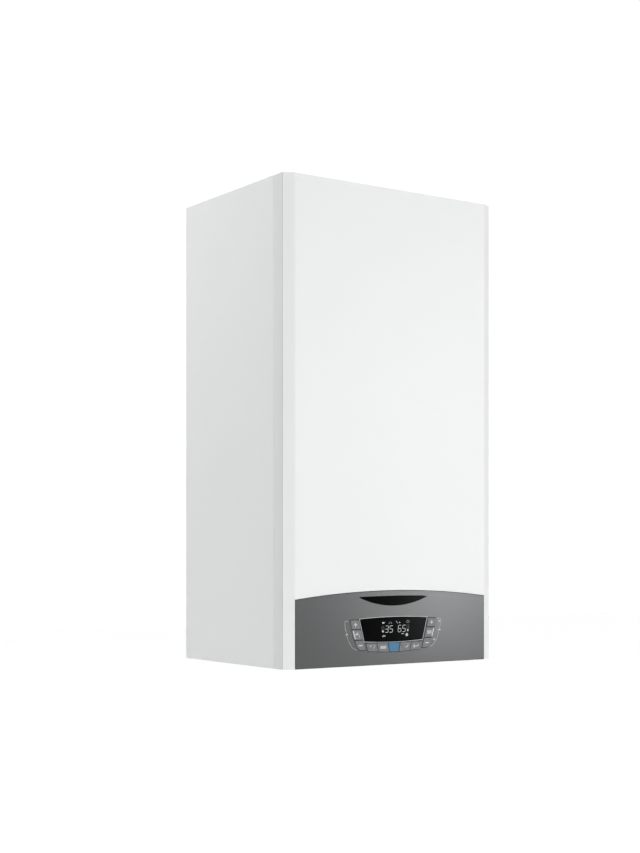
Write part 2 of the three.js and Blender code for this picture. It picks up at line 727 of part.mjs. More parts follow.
// ------------------------------------------------------------------ pump group
const pump = assembly(casing, PUMP_X, 0, PUMP_Z);
{
  piece(
    pump,
    "pump_housing",
    cut(
      add(
        rod(42, -150, -98, "y", 28),
        box(-18, 18, -150, -98, -90, 0),
        rod(12, 20, 56, "z", 12, -13, -124, 0),
        rod(8, -99, -86, "y", 10, -22, 0, 10),
        box(-44.6, -17, -112, -99, -68, -48),
        rod(10, 30, 54, "z", 12, 20, -112, 0),
      ),
      rod(33, -151, -118, "y", 24),
    ),
    "cast_iron",
  );
  const vane = solid(new THREE.BoxGeometry(17, 12, 1.6).translate(19, -138, 0));
  piece(
    pump,
    "pump_impeller",
    add(
      turned([[0, -162], [3.4, -162], [3.4, -145], [8, -145], [8, -133], [29, -133], [29, -130], [0, -130]], "y", 20),
      ...Array.from({ length: 6 }, (_, i) => vane.rotate([0, i * 60, 0])),
    ),
    "black_plastic",
  );
  piece(
    pump,
    "pump_motor",
    cut(
      add(
        turned([[0, -232], [30, -232], [34, -228], [44, -226], [44, -158], [38, -156], [38, -150.3], [0, -150.3]], "y", 24),
        box(-30, 30, -222, -164, 30, 56),
      ),
      rod(4.4, -170, -149, "y", 12),
    ),
    "black_plastic",
  );
  piece(
    pump,
    "air_vent",
    turned([[0, 54.3], [9, 54.3], [9, 60], [13, 62], [13, 92], [10, 95], [4, 95], [4, 102], [0, 102]], "z", 14, 20, -112, 0),
    "brass",
  );
}
piece(
  casing,
  "return_pipe",
  pipe([[120, -124, 176.3], [120, -124, 250], [113, -128, 282], [78, -143, 322], [60, -150, 352], [60, -150, 379]], 9, 16, 8),
  "copper",
);

// ------------------------------------------------------------- condensate trap
piece(
  casing,
  "condensate_trap",
  turned(
    [[0, 5], [8, 5], [8, 30], [11, 32], [11, 112], [20, 120], [20, 262], [22, 264], [22, 276], [20, 278], [20, 292], [12, 300], [12, 379.7], [0, 379.7]],
    "z", 14, 48, -215, 0,
  ),
  "grey_plastic",
);

// --------------------------------------------------------------- control panel
// The panel swings down about the pins at its lower rear corners.
const panel = assembly(casing, 0, HINGE_Y, HINGE_Z);
const toPanel = (s) => s.translate([0, -HINGE_Y, -HINGE_Z]);
const window_outline = (d) => {
  const p = [
    ...arch(-WIN.topX, WIN.topX, WIN.topZ, WIN.topMid, 8),
    ...arch(WIN.botX, -WIN.botX, WIN.botZ, WIN.botMid, 8),
  ];
  return grown(p, d);
};
const inlay_outline = (d) =>
  grown(
    [...arch(-INLAY.x, INLAY.x, INLAY.z, INLAY.topMid, 6).slice(0, -1), ...arch(INLAY.x, -INLAY.x, INLAY.z - 0.8, INLAY.botMid, 14).slice(0, -1)],
    d,
  );
const right_keys = [["plus", KEY_PLUS], ["mode", KEY_MODE], ["minus", KEY_MINUS]];
const keys = [];
for (const [k, pts] of right_keys) {
  keys.push(["key_left_" + k, mirrored(pts)]);
  keys.push(["key_right_" + k, pts]);
}
["power", "menu", "centre", "ok", "back"].forEach((k, i) => {
  const half = KEY_GAP / 2;
  keys.push([
    "key_row_" + k,
    [
      [ROW_TOP_X[i] + half, ROW_TOP_Z], [ROW_TOP_X[i + 1] - half, ROW_TOP_Z],
      [ROW_BOT_X[i + 1] - half, ROW_BOT_Z[i + 1]], [ROW_BOT_X[i] + half, ROW_BOT_Z[i]],
    ],
  ]);
});
{
  const outline = [
    [-FASCIA_HW, 0.4],
    ...arch(-FASCIA_HW, FASCIA_HW, FASCIA_SIDE_Z, FASCIA_MID_Z, 24),
    [FASCIA_HW, 0.4],
  ];
  const column = (s) => {
    const p = [KEY_PLUS[0], KEY_PLUS[1], KEY_MINUS[1], KEY_MINUS[2], KEY_MINUS[3], KEY_MINUS[4]];
    return s > 0 ? p : mirrored(p);
  };
  const row = [
    [ROW_TOP_X[0] + KEY_GAP / 2, ROW_TOP_Z], [ROW_TOP_X[5] - KEY_GAP / 2, ROW_TOP_Z],
    [ROW_BOT_X[5] - KEY_GAP / 2, ROW_BOT_Z[5]], [ROW_BOT_X[4], ROW_BOT_Z[4]], [ROW_BOT_X[3], ROW_BOT_Z[3]],
    [ROW_BOT_X[2], ROW_BOT_Z[2]], [ROW_BOT_X[1], ROW_BOT_Z[1]], [ROW_BOT_X[0] + KEY_GAP / 2, ROW_BOT_Z[0]],
  ];
  const through = (pts, d) => prism(grown(pts, d), "y", FRONT - 5, FRONT + 8);
  piece(
    panel,
    "control_fascia",
    toPanel(
      cut(
        prism(outline, "y", FRONT, FRONT + FASCIA_T),
        prism(window_outline(0.4), "y", FRONT - 5, FRONT + 8),
        prism(inlay_outline(0.3), "y", FRONT - 5, FRONT + 1.1),
        through(column(1), 0.7),
        through(column(-1), 0.7),
        through(row, 0.7),
      ),
    ),
    "panel_grey",
  );
  piece(panel, "display_lens", toPanel(prism(window_outline(0), "y", FRONT - 0.2, FRONT + FASCIA_T)), "gloss_black");
  piece(panel, "fascia_inlay", toPanel(prism(inlay_outline(0), "y", FRONT - 0.3, FRONT + 0.8)), "gloss_black");

  // tray behind the fascia, open towards it, with a hinge pin on each side
  const f = FRONT + FASCIA_T + GAP;
  const tray = (w, d) => prism([[f - d * 5, 4 + d], [BOX_REAR - d, 4 + d], [BOX_REAR - d, 70 - d * 0.5], [BOX_REAR - 16 - d * 0.5, BOX_TOP - d], [f - d * 5, BOX_TOP - d]], "x", -w, w);
  const pin = (s) => rod(PIN_R, s > 0 ? BOX_HW - 1 : -177, s > 0 ? 177 : -BOX_HW + 1, "x", 12, 0, HINGE_Y, HINGE_Z);
  piece(
    panel,
    "control_box",
    toPanel(add(cut(tray(BOX_HW, 0), tray(BOX_HW - BOX_WALL, BOX_WALL)), pin(-1), pin(1))),
    "black_plastic",
  );
  piece(panel, "main_board", toPanel(box(-150, 150, -300, -298.4, 12, 80)), "circuit_green");

  for (const [name, pts] of keys) {
    const cx = pts.reduce((a, p) => a + p[0], 0) / pts.length;
    const cz = pts.reduce((a, p) => a + p[1], 0) / pts.length;
    piece(
      panel,
      name,
      prism(pts.map(([x, z]) => [x - cx, z - cz]), "y", -KEY_PROUD, KEY_T - KEY_PROUD),
      name === "key_row_centre" ? "key_blue" : "key_grey",
      [cx, FRONT - HINGE_Y, cz - HINGE_Z],
    );
  }
}

export default boiler;
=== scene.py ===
# Wall-hung combi boiler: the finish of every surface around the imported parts.
# Metres, row frame: +X right seen from the front, front facing -Y, +Z up.
import bpy, bmesh, json, math, random
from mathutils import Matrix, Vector, geometry


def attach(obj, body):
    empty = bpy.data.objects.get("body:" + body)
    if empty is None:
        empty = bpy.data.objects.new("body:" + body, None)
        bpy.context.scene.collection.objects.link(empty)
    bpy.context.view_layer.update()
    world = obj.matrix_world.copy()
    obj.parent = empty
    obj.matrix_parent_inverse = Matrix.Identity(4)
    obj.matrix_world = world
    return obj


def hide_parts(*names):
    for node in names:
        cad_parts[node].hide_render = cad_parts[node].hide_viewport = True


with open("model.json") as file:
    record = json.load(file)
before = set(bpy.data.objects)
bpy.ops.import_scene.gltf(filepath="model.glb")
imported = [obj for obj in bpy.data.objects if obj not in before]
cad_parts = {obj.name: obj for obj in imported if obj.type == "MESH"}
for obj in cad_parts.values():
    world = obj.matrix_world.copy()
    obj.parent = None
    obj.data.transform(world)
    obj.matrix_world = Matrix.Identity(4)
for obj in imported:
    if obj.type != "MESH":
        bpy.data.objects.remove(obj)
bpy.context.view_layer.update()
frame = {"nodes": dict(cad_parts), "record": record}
NODES = frame["nodes"]
SLOT_OF = {s["node"]: s["material_slot"] for s in frame["record"]["subparts"]}
BODY_OF = {n: b for b, ns in frame["record"]["behaviour"]["bodies"].items() for n in ns}
random.seed(4)

HANG = 680.0  # the bracket's centre above the bottom of the casing, mm
W, H = 400.0, 745.0
FRONT, REAR = -319.0, -9.0
SEAM, HEM_REAR, BAND_FRONT = -293.0, -310.4, -309.7
JOG_Y, STOP_Y, TOP_FRONT = -287.6, -290.4, -286.6


def V(x, y, z):
    """Casing millimetres (z from the bottom of the casing) to the row frame."""
    return Vector((x / 1000, y / 1000, (z - HANG) / 1000))


# ------------------------------------------------------------------ camera
F_PX, PX, PY = 1523.083, 374.549, 546.7305
cam_data = bpy.data.cameras.new("camera")
cam = bpy.data.objects.new("camera", cam_data)
bpy.context.scene.collection.objects.link(cam)
cam_data.sensor_fit = "AUTO"
cam_data.sensor_width = 36
cam_data.lens = F_PX / 853 * 36
cam_data.shift_x = (320 - PX) / 853
cam_data.shift_y = (PY - 426.5) / 853
cam_data.clip_start, cam_data.clip_end = 0.05, 60
cam.location = V(-1408.868, -1927.406 + FRONT, 184.222)
cam.rotation_euler = (math.pi / 2, 0, -0.6186)
bpy.context.scene.camera = cam

# ------------------------------------------------------------------ materials
def srgb(r, g, b):
    f = lambda c: c / 255 / 12.92 if c / 255 <= 0.04045 else ((c / 255 + 0.055) / 1.055) ** 2.4
    return (f(r), f(g), f(b), 1.0)


def material(name, color, rough=0.4, metal=0.0, vary=0.03, vary_scale=9.0, rough_vary=0.05,
             grain=900.0, grain_depth=0.00002, grain_strength=0.3, stretch=(1, 1, 1), coat=0.0,
             coat_rough=0.1, spec=0.5, dirt=None, dirt_amount=0.0, dirt_scale=40.0, alpha=1.0, flakes=0.0):
    """A procedural finish: large soft colour variation, fine grain in bump and in roughness."""
    m = bpy.data.materials.new(name)
    m.use_nodes = True
    nt = m.node_tree
    n, l = nt.nodes, nt.links
    p = n["Principled BSDF"]
    p.inputs["Metallic"].default_value = metal
    p.inputs["Coat Weight"].default_value = coat
    p.inputs["Coat Roughness"].default_value = coat_rough
    p.inputs["Specular IOR Level"].default_value = spec
    tc = n.new("ShaderNodeTexCoord")
    mp = n.new("ShaderNodeMapping")
    mp.inputs["Scale"].default_value = stretch
    l.new(tc.outputs["Object"], mp.inputs["Vector"])

    def noise(scale, detail=3.0, seed=0.0, vec=mp):
        t = n.new("ShaderNodeTexNoise")
        t.noise_dimensions = "4D"
        t.inputs["Scale"].default_value = scale
        t.inputs["Detail"].default_value = detail
        t.inputs["W"].default_value = seed
        l.new(vec.outputs["Vector"], t.inputs["Vector"])
        return t

    big = noise(vary_scale, 4, 1.7)
    ramp = n.new("ShaderNodeMix")
    ramp.data_type = "RGBA"
    lo = tuple(max(0.0, c * (1 - vary)) for c in color[:3]) + (1,)
    hi = tuple(min(1.0, c * (1 + vary)) for c in color[:3]) + (1,)
    ramp.inputs["A"].default_value = lo
    ramp.inputs["B"].default_value = hi
    l.new(big.outputs["Fac"], ramp.inputs["Factor"])
    last = ramp.outputs["Result"]
    fine = noise(grain, 2, 3.1)
    if flakes:
        fm = n.new("ShaderNodeMix")
        fm.data_type = "RGBA"
        fm.blend_type = "MULTIPLY"
        fr = n.new("ShaderNodeMapRange")
        fr.inputs["From Min"].default_value = 0.35
        fr.inputs["From Max"].default_value = 0.65
        fr.inputs["To Min"].default_value = 1 - flakes
        fr.inputs["To Max"].default_value = 1 + flakes
        l.new(fine.outputs["Fac"], fr.inputs["Value"])
        fm.inputs["Factor"].default_value = 1.0
        l.new(last, fm.inputs["A"])
        l.new(fr.outputs["Result"], fm.inputs["B"])
        last = fm.outputs["Result"]
    if dirt:
        spots = noise(dirt_scale, 6, 9.3)
        dr = n.new("ShaderNodeMapRange")
        dr.inputs["From Min"].default_value = 0.48
        dr.inputs["From Max"].default_value = 0.72
        dr.inputs["To Max"].default_value = dirt_amount
        l.new(spots.outputs["Fac"], dr.inputs["Value"])
        dm = n.new("ShaderNodeMix")
        dm.data_type = "RGBA"
        l.new(dr.outputs["Result"], dm.inputs["Factor"])
        l.new(last, dm.inputs["A"])
        dm.inputs["B"].default_value = dirt
        last = dm.outputs["Result"]
    l.new(last, p.inputs["Base Color"])
    rv = n.new("ShaderNodeMapRange")
    rv.inputs["From Min"].default_value = 0.3
    rv.inputs["From Max"].default_value = 0.7
    rv.inputs["To Min"].default_value = max(0.02, rough - rough_vary)
    rv.inputs["To Max"].default_value = min(1.0, rough + rough_vary)
    l.new(noise(vary_scale * 5, 5, 5.2).outputs["Fac"], rv.inputs["Value"])
    l.new(rv.outputs["Result"], p.inputs["Roughness"])
    bump = n.new("ShaderNodeBump")
    bump.inputs["Strength"].default_value = grain_strength
    bump.inputs["Distance"].default_value = grain_depth
    l.new(fine.outputs["Fac"], bump.inputs["Height"])
    l.new(bump.outputs["Normal"], p.inputs["Normal"])
    if alpha < 1:
        p.inputs["Alpha"].default_value = alpha
    return m


def glow(name, color, strength):
    """A printed or lit mark: diffuse colour with a little light of its own."""
    m = material(name, color, rough=0.5, vary=0.04, vary_scale=60, grain=2500, grain_depth=0.00001)
    p = m.node_tree.nodes["Principled BSDF"]
    p.inputs["Emission Color"].default_value = color
    p.inputs["Emission Strength"].default_value = strength
    return m


M = {
    "white_enamel": material("white_powder_coat", srgb(240, 241, 241), rough=0.42, vary=0.008, vary_scale=5,
                             rough_vary=0.03, grain=1100, grain_depth=0.00003, grain_strength=0.22, spec=0.45),
    "galvanised": material("galvanised_sheet", (0.50, 0.52, 0.53, 1), rough=0.42, metal=0.85, vary=0.16, vary_scale=70,
                           rough_vary=0.10, grain=420, grain_depth=0.00003, grain_strength=0.25),
    "panel_grey": material("panel_metallic_grey", (0.090, 0.092, 0.093, 1), rough=0.25, metal=0.75, vary=0.006, vary_scale=4,
                           rough_vary=0.006, grain=2600, grain_depth=0.000006, grain_strength=0.08, flakes=0.02),
    "key_grey": material("key_satin_grey", srgb(112, 114, 116), rough=0.45, metal=0.2, vary=0.02, vary_scale=30,
                         rough_vary=0.03, grain=2600, grain_depth=0.00001, grain_strength=0.15, flakes=0.03),
    "key_blue": material("key_satin_blue", srgb(54, 114, 150), rough=0.42, vary=0.03, vary_scale=40,
                         rough_vary=0.03, grain=2600, grain_depth=0.00001, grain_strength=0.15),
    "gloss_black": material("gloss_black", (0.0008, 0.0008, 0.0009, 1), rough=0.13, vary=0.1, vary_scale=20, rough_vary=0.01,
                            grain=300, grain_depth=0.000001, grain_strength=0.05, spec=0.03),
    "black_plastic": material("black_plastic", (0.018, 0.018, 0.019, 1), rough=0.5, vary=0.12, vary_scale=25, rough_vary=0.07,
                              grain=1500, grain_depth=0.00003, grain_strength=0.4),
    "grey_plastic": material("grey_plastic", (0.36, 0.37, 0.38, 1), rough=0.5, vary=0.05, vary_scale=18, rough_vary=0.06,
                             grain=1300, grain_depth=0.00003, grain_strength=0.35),
    "circuit_green": material("circuit_board", (0.012, 0.11, 0.045, 1), rough=0.38, vary=0.2, vary_scale=160, rough_vary=0.08,
                              grain=700, grain_depth=0.00003, grain_strength=0.4),
    "cast_aluminium": material("cast_aluminium", (0.55, 0.56, 0.57, 1), rough=0.48, metal=0.9, vary=0.08, vary_scale=35,
                               rough_vary=0.10, grain=900, grain_depth=0.00008, grain_strength=0.6,
                               dirt=(0.20, 0.20, 0.20, 1), dirt_amount=0.25, dirt_scale=60),
    "stainless": material("stainless_steel", (0.60, 0.60, 0.61, 1), rough=0.34, metal=1.0, vary=0.03, vary_scale=12,
                          rough_vary=0.03, grain=420, grain_depth=0.00001, grain_strength=0.15),
    "brass": material("machined_brass", (0.64, 0.45, 0.18, 1), rough=0.30, metal=1.0, vary=0.10, vary_scale=60, rough_vary=0.09,
                      grain=900, grain_depth=0.00002, grain_strength=0.3, dirt=(0.44, 0.29, 0.11, 1), dirt_amount=0.3, dirt_scale=60),
    "copper": material("drawn_copper", (0.72, 0.33, 0.18, 1), rough=0.30, metal=1.0, vary=0.10, vary_scale=50, rough_vary=0.09,
                       grain=600, grain_depth=0.00001, grain_strength=0.25, dirt=(0.34, 0.13, 0.07, 1), dirt_amount=0.45, dirt_scale=45),
    "vessel_red": material("vessel_red_paint", (0.36, 0.028, 0.022, 1), rough=0.38, vary=0.06, vary_scale=14, rough_vary=0.05,
                           grain=900, grain_depth=0.00003, grain_strength=0.3),
    "cast_iron": material("coated_cast_iron", (0.045, 0.048, 0.052, 1), rough=0.55, metal=0.2, vary=0.18, vary_scale=60, rough_vary=0.10,
                          grain=700, grain_depth=0.0001, grain_strength=0.7),
    "knob_red": material("knob_red", (0.42, 0.018, 0.014, 1), rough=0.42, vary=0.05, vary_scale=60, grain=1800,
                         grain_depth=0.00002, grain_strength=0.3),
    "knob_black": material("knob_black", (0.014, 0.014, 0.015, 1), rough=0.45, vary=0.1, vary_scale=60, grain=1800,
                           grain_depth=0.00002, grain_strength=0.3),
    "rubber": material("rubber", (0.012, 0.012, 0.012, 1), rough=0.75, vary=0.15, vary_scale=50, grain=1500,
                       grain_depth=0.00004, grain_strength=0.5),
    "ceramic": material("glazed_ceramic", (0.78, 0.75, 0.68, 1), rough=0.25, vary=0.03, vary_scale=80, grain=900,
                        grain_depth=0.00001, grain_strength=0.2),
}
PRINT = glow("white_print", srgb(222, 225, 225), 0.0)
LIT = glow("display_white", srgb(192, 197, 200), 0.06)
LINE = material("panel_line_silver", srgb(176, 178, 179), rough=0.4, metal=0.4, vary=0.03, vary_scale=40, grain=2600,
                grain_depth=0.00001)
ZINC = material("zinc_plated_screw", (0.60, 0.60, 0.58, 1), rough=0.3, metal=1.0, vary=0.08, vary_scale=200, rough_vary=0.08,
                grain=1500, grain_depth=0.00002, grain_strength=0.3)
# Slightly greyer, flatter white for the side panels' flared front band: painted shade, not a different coat.
BAND_PAINTED_SHADE = material("white_powder_coat_painted_shade", srgb(231, 232, 232), rough=0.5, vary=0.008, vary_scale=5, rough_vary=0.03,
                grain=1100, grain_depth=0.00003, grain_strength=0.22, spec=0.35)
DARK = material("dark_gap", (0.01, 0.01, 0.01, 1), rough=0.8, vary=0.1, vary_scale=60, grain=1200, grain_depth=0.00003)


# ------------------------------------------------------------------ mesh helpers
def link(name, me, mat, body, node=None, slot=None):
    ob = bpy.data.objects.new(name, me)
    bpy.context.scene.collection.objects.link(ob)
    me.materials.clear()
    me.materials.append(mat)
    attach(ob, body)
    if node:
        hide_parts(*([node] if isinstance(node, str) else node))
    return ob


def smooth(me, angle=32):
    """Smooth faces, with edges sharper than the angle kept sharp."""
    bm = bmesh.new()
    bm.from_mesh(me)
    lim = math.radians(angle)
    for f in bm.faces:
        f.smooth = True
    for e in bm.edges:
        e.smooth = len(e.link_faces) == 2 and e.calc_face_angle(0) < lim
    bm.to_mesh(me)
    bm.free()
    return me


def applied(me, mods):
    """The mesh after modifiers: a list of (type, settings)."""
    tmp = bpy.data.objects.new("tmp", me)
    bpy.context.scene.collection.objects.link(tmp)
    for kind, settings in mods:
        m = tmp.modifiers.new(kind, kind)
        for k, v in settings.items():
            setattr(m, k, v)
    dg = bpy.context.evaluated_depsgraph_get()
    out = bpy.data.meshes.new_from_object(tmp.evaluated_get(dg), preserve_all_data_layers=True, depsgraph=dg)
    bpy.data.objects.remove(tmp)
    return out


def finish_mesh(me, width=0.5, angle=34, segments=2, smooth_angle=34):
    """Merges coplanar faces, rounds the edges by width mm, and weights the normals by face area."""
    bm = bmesh.new()
    bm.from_mesh(me)
    bmesh.ops.remove_doubles(bm, verts=bm.verts, dist=1e-6)
    bmesh.ops.dissolve_limit(bm, angle_limit=math.radians(0.6), verts=bm.verts, edges=bm.edges, delimit={"NORMAL"})
    bm.to_mesh(me)
    bm.free()
    if width:
        me = applied(me, [("BEVEL", dict(width=width / 1000, segments=segments, limit_method="ANGLE",
                                         angle_limit=math.radians(angle), use_clamp_overlap=True, harden_normals=False))])
    bm = bmesh.new()
    bm.from_mesh(me)
    bmesh.ops.triangulate(bm, faces=[f for f in bm.faces if len(f.verts) > 4], ngon_method="BEAUTY")
    bm.to_mesh(me)
    bm.free()
    smooth(me, smooth_angle)
    return applied(me, [("WEIGHTED_NORMAL", dict(keep_sharp=True, weight=60))])


def refine(node, width=0.5, angle=34, mat=None, smooth_angle=34, segments=2):
    """A CAD node's own shape with softened edges, in place of the node."""
    me = NODES[node].data.copy()
    me = finish_mesh(me, width, angle, segments, smooth_angle)
    return link(node + "_finished", me, mat or M[SLOT_OF[node]], BODY_OF[node], node, SLOT_OF[node])


def prism_mesh(outline, z0, z1):
    """A closed prism over an (x, y) outline, casing mm."""
    bm = bmesh.new()
    lower = [bm.verts.new(V(x, y, z0)) for x, y in outline]
    upper = [bm.verts.new(V(x, y, z1)) for x, y in outline]
    n = len(outline)
    bm.faces.new(lower[::-1])
    bm.faces.new(upper)
    for i in range(n):
        bm.faces.new((lower[i], lower[(i + 1) % n], upper[(i + 1) % n], upper[i]))
    bmesh.ops.recalc_face_normals(bm, faces=bm.faces)
    return bm


def to_mesh(bm, name="m"):
    me = bpy.data.meshes.new(name)
    bm.to_mesh(me)
    bm.free()
    return me


def boolean(me, cutter, op="DIFFERENCE"):
    other = bpy.data.objects.new("cutter", cutter)
    bpy.context.scene.collection.objects.link(other)
    out = applied(me, [("BOOLEAN", dict(object=other, operation=op, solver="EXACT"))])
    bpy.data.objects.remove(other)
    return out


def plate_mesh(loops, y0, y1, bevel=0.3, res=2):
    """A flat plate facing -Y: (x, z) loops in mm, the first outside, the others holes; front face at y0, back at y1.
    The front edges are rounded by bevel mm."""
    bm = bmesh.new()
    front, back = [], []
    for k, loop in enumerate(loops):
        sign = -1 if k == 0 else 1
        rings = []
        for i in range(res + 1):
            t = math.pi / 2 * i / res
            pts = grown(loop, sign * bevel * (1 - math.sin(t))) if bevel else loop
            rings.append([bm.verts.new(V(x, y0 + bevel * (1 - math.cos(t)), z)) for x, z in pts])
        rings.append([bm.verts.new(V(x, y1, z)) for x, z in loop])
        for a, b in zip(rings, rings[1:]):
            for i in range(len(a)):
                j = (i + 1) % len(a)
                bm.faces.new((a[i], a[j], b[j], b[i]))
        front.append(rings[0])
        back.append(rings[-1])
    for side in (front, back):
        flat = [v for ring in side for v in ring]
        for tri in geometry.tessellate_polygon([[Vector((v.co.x, v.co.z, 0)) for v in ring] for ring in side]):
            bm.faces.new([flat[i] for i in tri])
    bmesh.ops.recalc_face_normals(bm, faces=bm.faces)
    rims = [(a, b) for ring in front + back for a, b in zip(ring, ring[1:] + ring[:1])]
    for f in bm.faces:
        f.smooth = True
    for e in bm.edges:
        e.smooth = e.calc_face_angle(0) < math.radians(50)
    for a, b in rims:
        bm.edges.get((a, b)).smooth = False
    return to_mesh(bm, "plate")


def plate(name, loops, y0, y1, mat, body, bevel=0.3, res=2, node=None, slot=None):
    return link(name, plate_mesh(loops, y0, y1, bevel, res), mat, body, node, slot)


def lathe_mesh(profile, axis="z", c=(0, 0, 0), seg=72):
    """Turned shape: (radius, height) profile in mm, closed or from axis to axis. c is in casing mm."""
    bm = bmesh.new()
    rings = []
    closed = profile[0] == profile[-1]
    pts = profile[:-1] if closed else profile

    def at(r, h, a):
        u, v = r * math.cos(a), r * math.sin(a)
        if axis == "z":
            return V(c[0] + u, c[1] + v, c[2] + h)
        if axis == "y":
            return V(c[0] + u, c[1] + h, c[2] + v)
        return V(c[0] + h, c[1] + u, c[2] + v)

    for r, h in pts:
        if r < 1e-6:
            rings.append([bm.verts.new(at(0, h, 0))])
        else:
            rings.append([bm.verts.new(at(r, h, 2 * math.pi * i / seg)) for i in range(seg)])
    n = len(rings)
    for k in range(n if closed else n - 1):
        a, b = rings[k], rings[(k + 1) % n]
        for i in range(seg):
            j = (i + 1) % seg
            if len(a) == 1 and len(b) == 1:
                continue
            if len(a) == 1:
                bm.faces.new((a[0], b[i], b[j]))
            elif len(b) == 1:
                bm.faces.new((a[i], a[j], b[0]))
            else:
                bm.faces.new((a[i], a[j], b[j], b[i]))
    bmesh.ops.recalc_face_normals(bm, faces=bm.faces)
    me = to_mesh(bm, "lathe")
    smooth(me, 40)
    return applied(me, [("WEIGHTED_NORMAL", dict(keep_sharp=True, weight=60))])


def rounded(profile, r, n=3):
    """Rounds the corners of a profile or outline by r mm; an open profile keeps its ends."""
    closed = profile[0] == profile[-1]
    p = profile[:-1] if closed else profile
    out = []
    m = len(p)
    for i, b in enumerate(p):
        if not closed and i in (0, m - 1):
            out.append(b)
            continue
        a, c = p[(i - 1) % m], p[(i + 1) % m]
        la, lc = math.dist(a, b), math.dist(b, c)
        d = min(r, la * 0.45, lc * 0.45)
        s = (b[0] + (a[0] - b[0]) * d / la, b[1] + (a[1] - b[1]) * d / la)
        e = (b[0] + (c[0] - b[0]) * d / lc, b[1] + (c[1] - b[1]) * d / lc)
        for k in range(n + 1):
            t = k / n
            out.append(tuple((1 - t) ** 2 * s[j] + 2 * t * (1 - t) * b[j] + t * t * e[j] for j in (0, 1)))
    if closed:
        out.append(out[0])
    return out


def joined(meshes):
    bm = bmesh.new()
    for me in meshes:
        bm.from_mesh(me)
    return to_mesh(bm)


def box_mesh(x0, x1, y0, y1, z0, z1, r=0.4):
    bm = bmesh.new()
    bmesh.ops.create_cube(bm, size=1)
    lo, hi = V(x0, y0, z0), V(x1, y1, z1)
    for v in bm.verts:
        v.co = Vector(((lo[i] + hi[i]) / 2 + v.co[i] * (hi[i] - lo[i]) for i in range(3)))
    me = to_mesh(bm, "box")
    return finish_mesh(me, r, 30, 3, 50) if r else me


def route(points, tension, steps):
    """Points along the rounded route that the CAD tubes follow."""
    p = [V(*q) for q in points]
    ext = [2 * p[0] - p[1], *p, 2 * p[-1] - p[-2]]
    out = []
    n = len(p)
    for i in range(steps + 1):
        u = i / steps * (n - 1)
        k = min(int(u), n - 2)
        t = u - k
        p0, p1, p2, p3 = ext[k:k + 4]
        m1, m2 = tension * (p2 - p0), tension * (p3 - p1)
        a = 2 * p1 - 2 * p2 + m1 + m2
        b = -3 * p1 + 3 * p2 - 2 * m1 - m2
        out.append(a * t ** 3 + b * t * t + m1 * t + p1)
    return out


def tube_mesh(pts, r, sides=24):
    bm = bmesh.new()
    tangent = [(pts[min(i + 1, len(pts) - 1)] - pts[max(i - 1, 0)]).normalized() for i in range(len(pts))]
    up = tangent[0].orthogonal().normalized()
    rings = []
    for p, t in zip(pts, tangent):
        up = (up - t * up.dot(t)).normalized()
        side = t.cross(up)
        rings.append([bm.verts.new(p + (up * math.cos(2 * math.pi * k / sides) + side * math.sin(2 * math.pi * k / sides)) * r / 1000)
                      for k in range(sides)])
    for a, b in zip(rings, rings[1:]):
        for i in range(sides):
            j = (i + 1) % sides
            bm.faces.new((a[i], a[j], b[j], b[i]))
    bm.faces.new(rings[0][::-1])
    bm.faces.new(rings[-1])
    bmesh.ops.recalc_face_normals(bm, faces=bm.faces)
    me = to_mesh(bm, "tube")
    smooth(me, 50)
    return me


def arc(x0, x1, z0, zm, n):
    """Points from x0 to x1 on a shallow arc that ends at height z0 and is at zm in the middle."""
    half, mid, sag = abs(x1 - x0) / 2, (x0 + x1) / 2, zm - z0
    R = (half * half + sag * sag) / (2 * abs(sag))
    out = []
    for i in range(n + 1):
        x = x0 + (x1 - x0) * i / n
        out.append((x, z0 + math.copysign(math.sqrt(R * R - (x - mid) ** 2) - (R - abs(sag)), sag)))
    return out


def grown(points, d):
    """Moves each edge of a convex outline outwards by d."""
    n = len(points)
    area = sum(points[i][0] * points[(i + 1) % n][1] - points[(i + 1) % n][0] * points[i][1] for i in range(n))
    s = 1 if area > 0 else -1
    lines = []
    for i in range(n):
        (x, z), (u, v) = points[i], points[(i + 1) % n]
        l = math.hypot(u - x, v - z)
        nx, nz = s * (v - z) / l, -s * (u - x) / l
        lines.append((x + nx * d, z + nz * d, u - x, v - z))
    out = []
    for i in range(n):
        a, b = lines[i - 1], lines[i]
        det = a[2] * b[3] - a[3] * b[2]
        if abs(det) < 1e-9:
            out.append((b[0], b[1]))
            continue
        t = ((b[0] - a[0]) * b[3] - (b[1] - a[1]) * b[2]) / det
        out.append((a[0] + a[2] * t, a[1] + a[3] * t))
    return out


mirror = lambda pts: [(-x, z) for x, z in pts][::-1]


def stroke(points, w, caps=6):
    """A flat line of width w as a list of convex loops (one per stretch, with round ends)."""
    loops = []
    for (x0, z0), (x1, z1) in zip(points, points[1:]):
        a = math.atan2(z1 - z0, x1 - x0)
        loop = []
        for k in range(caps + 1):
            t = a + math.pi / 2 + math.pi * k / caps
            loop.append((x0 + w / 2 * math.cos(t), z0 + w / 2 * math.sin(t)))
        for k in range(caps + 1):
            t = a - math.pi / 2 + math.pi * k / caps
            loop.append((x1 + w / 2 * math.cos(t), z1 + w / 2 * math.sin(t)))
        loops.append(loop)
    return loops


def disc(x, z, r, n=20):
    return [[(x + r * math.cos(2 * math.pi * k / n), z + r * math.sin(2 * math.pi * k / n)) for k in range(n)]]


def ring(x, z, r, w, a0=0, a1=360, n=18):
    pts = [(x + r * math.cos(math.radians(a0 + (a1 - a0) * k / n)), z + r * math.sin(math.radians(a0 + (a1 - a0) * k / n)))
           for k in range(n + 1)]
    return stroke(pts, w, 3)


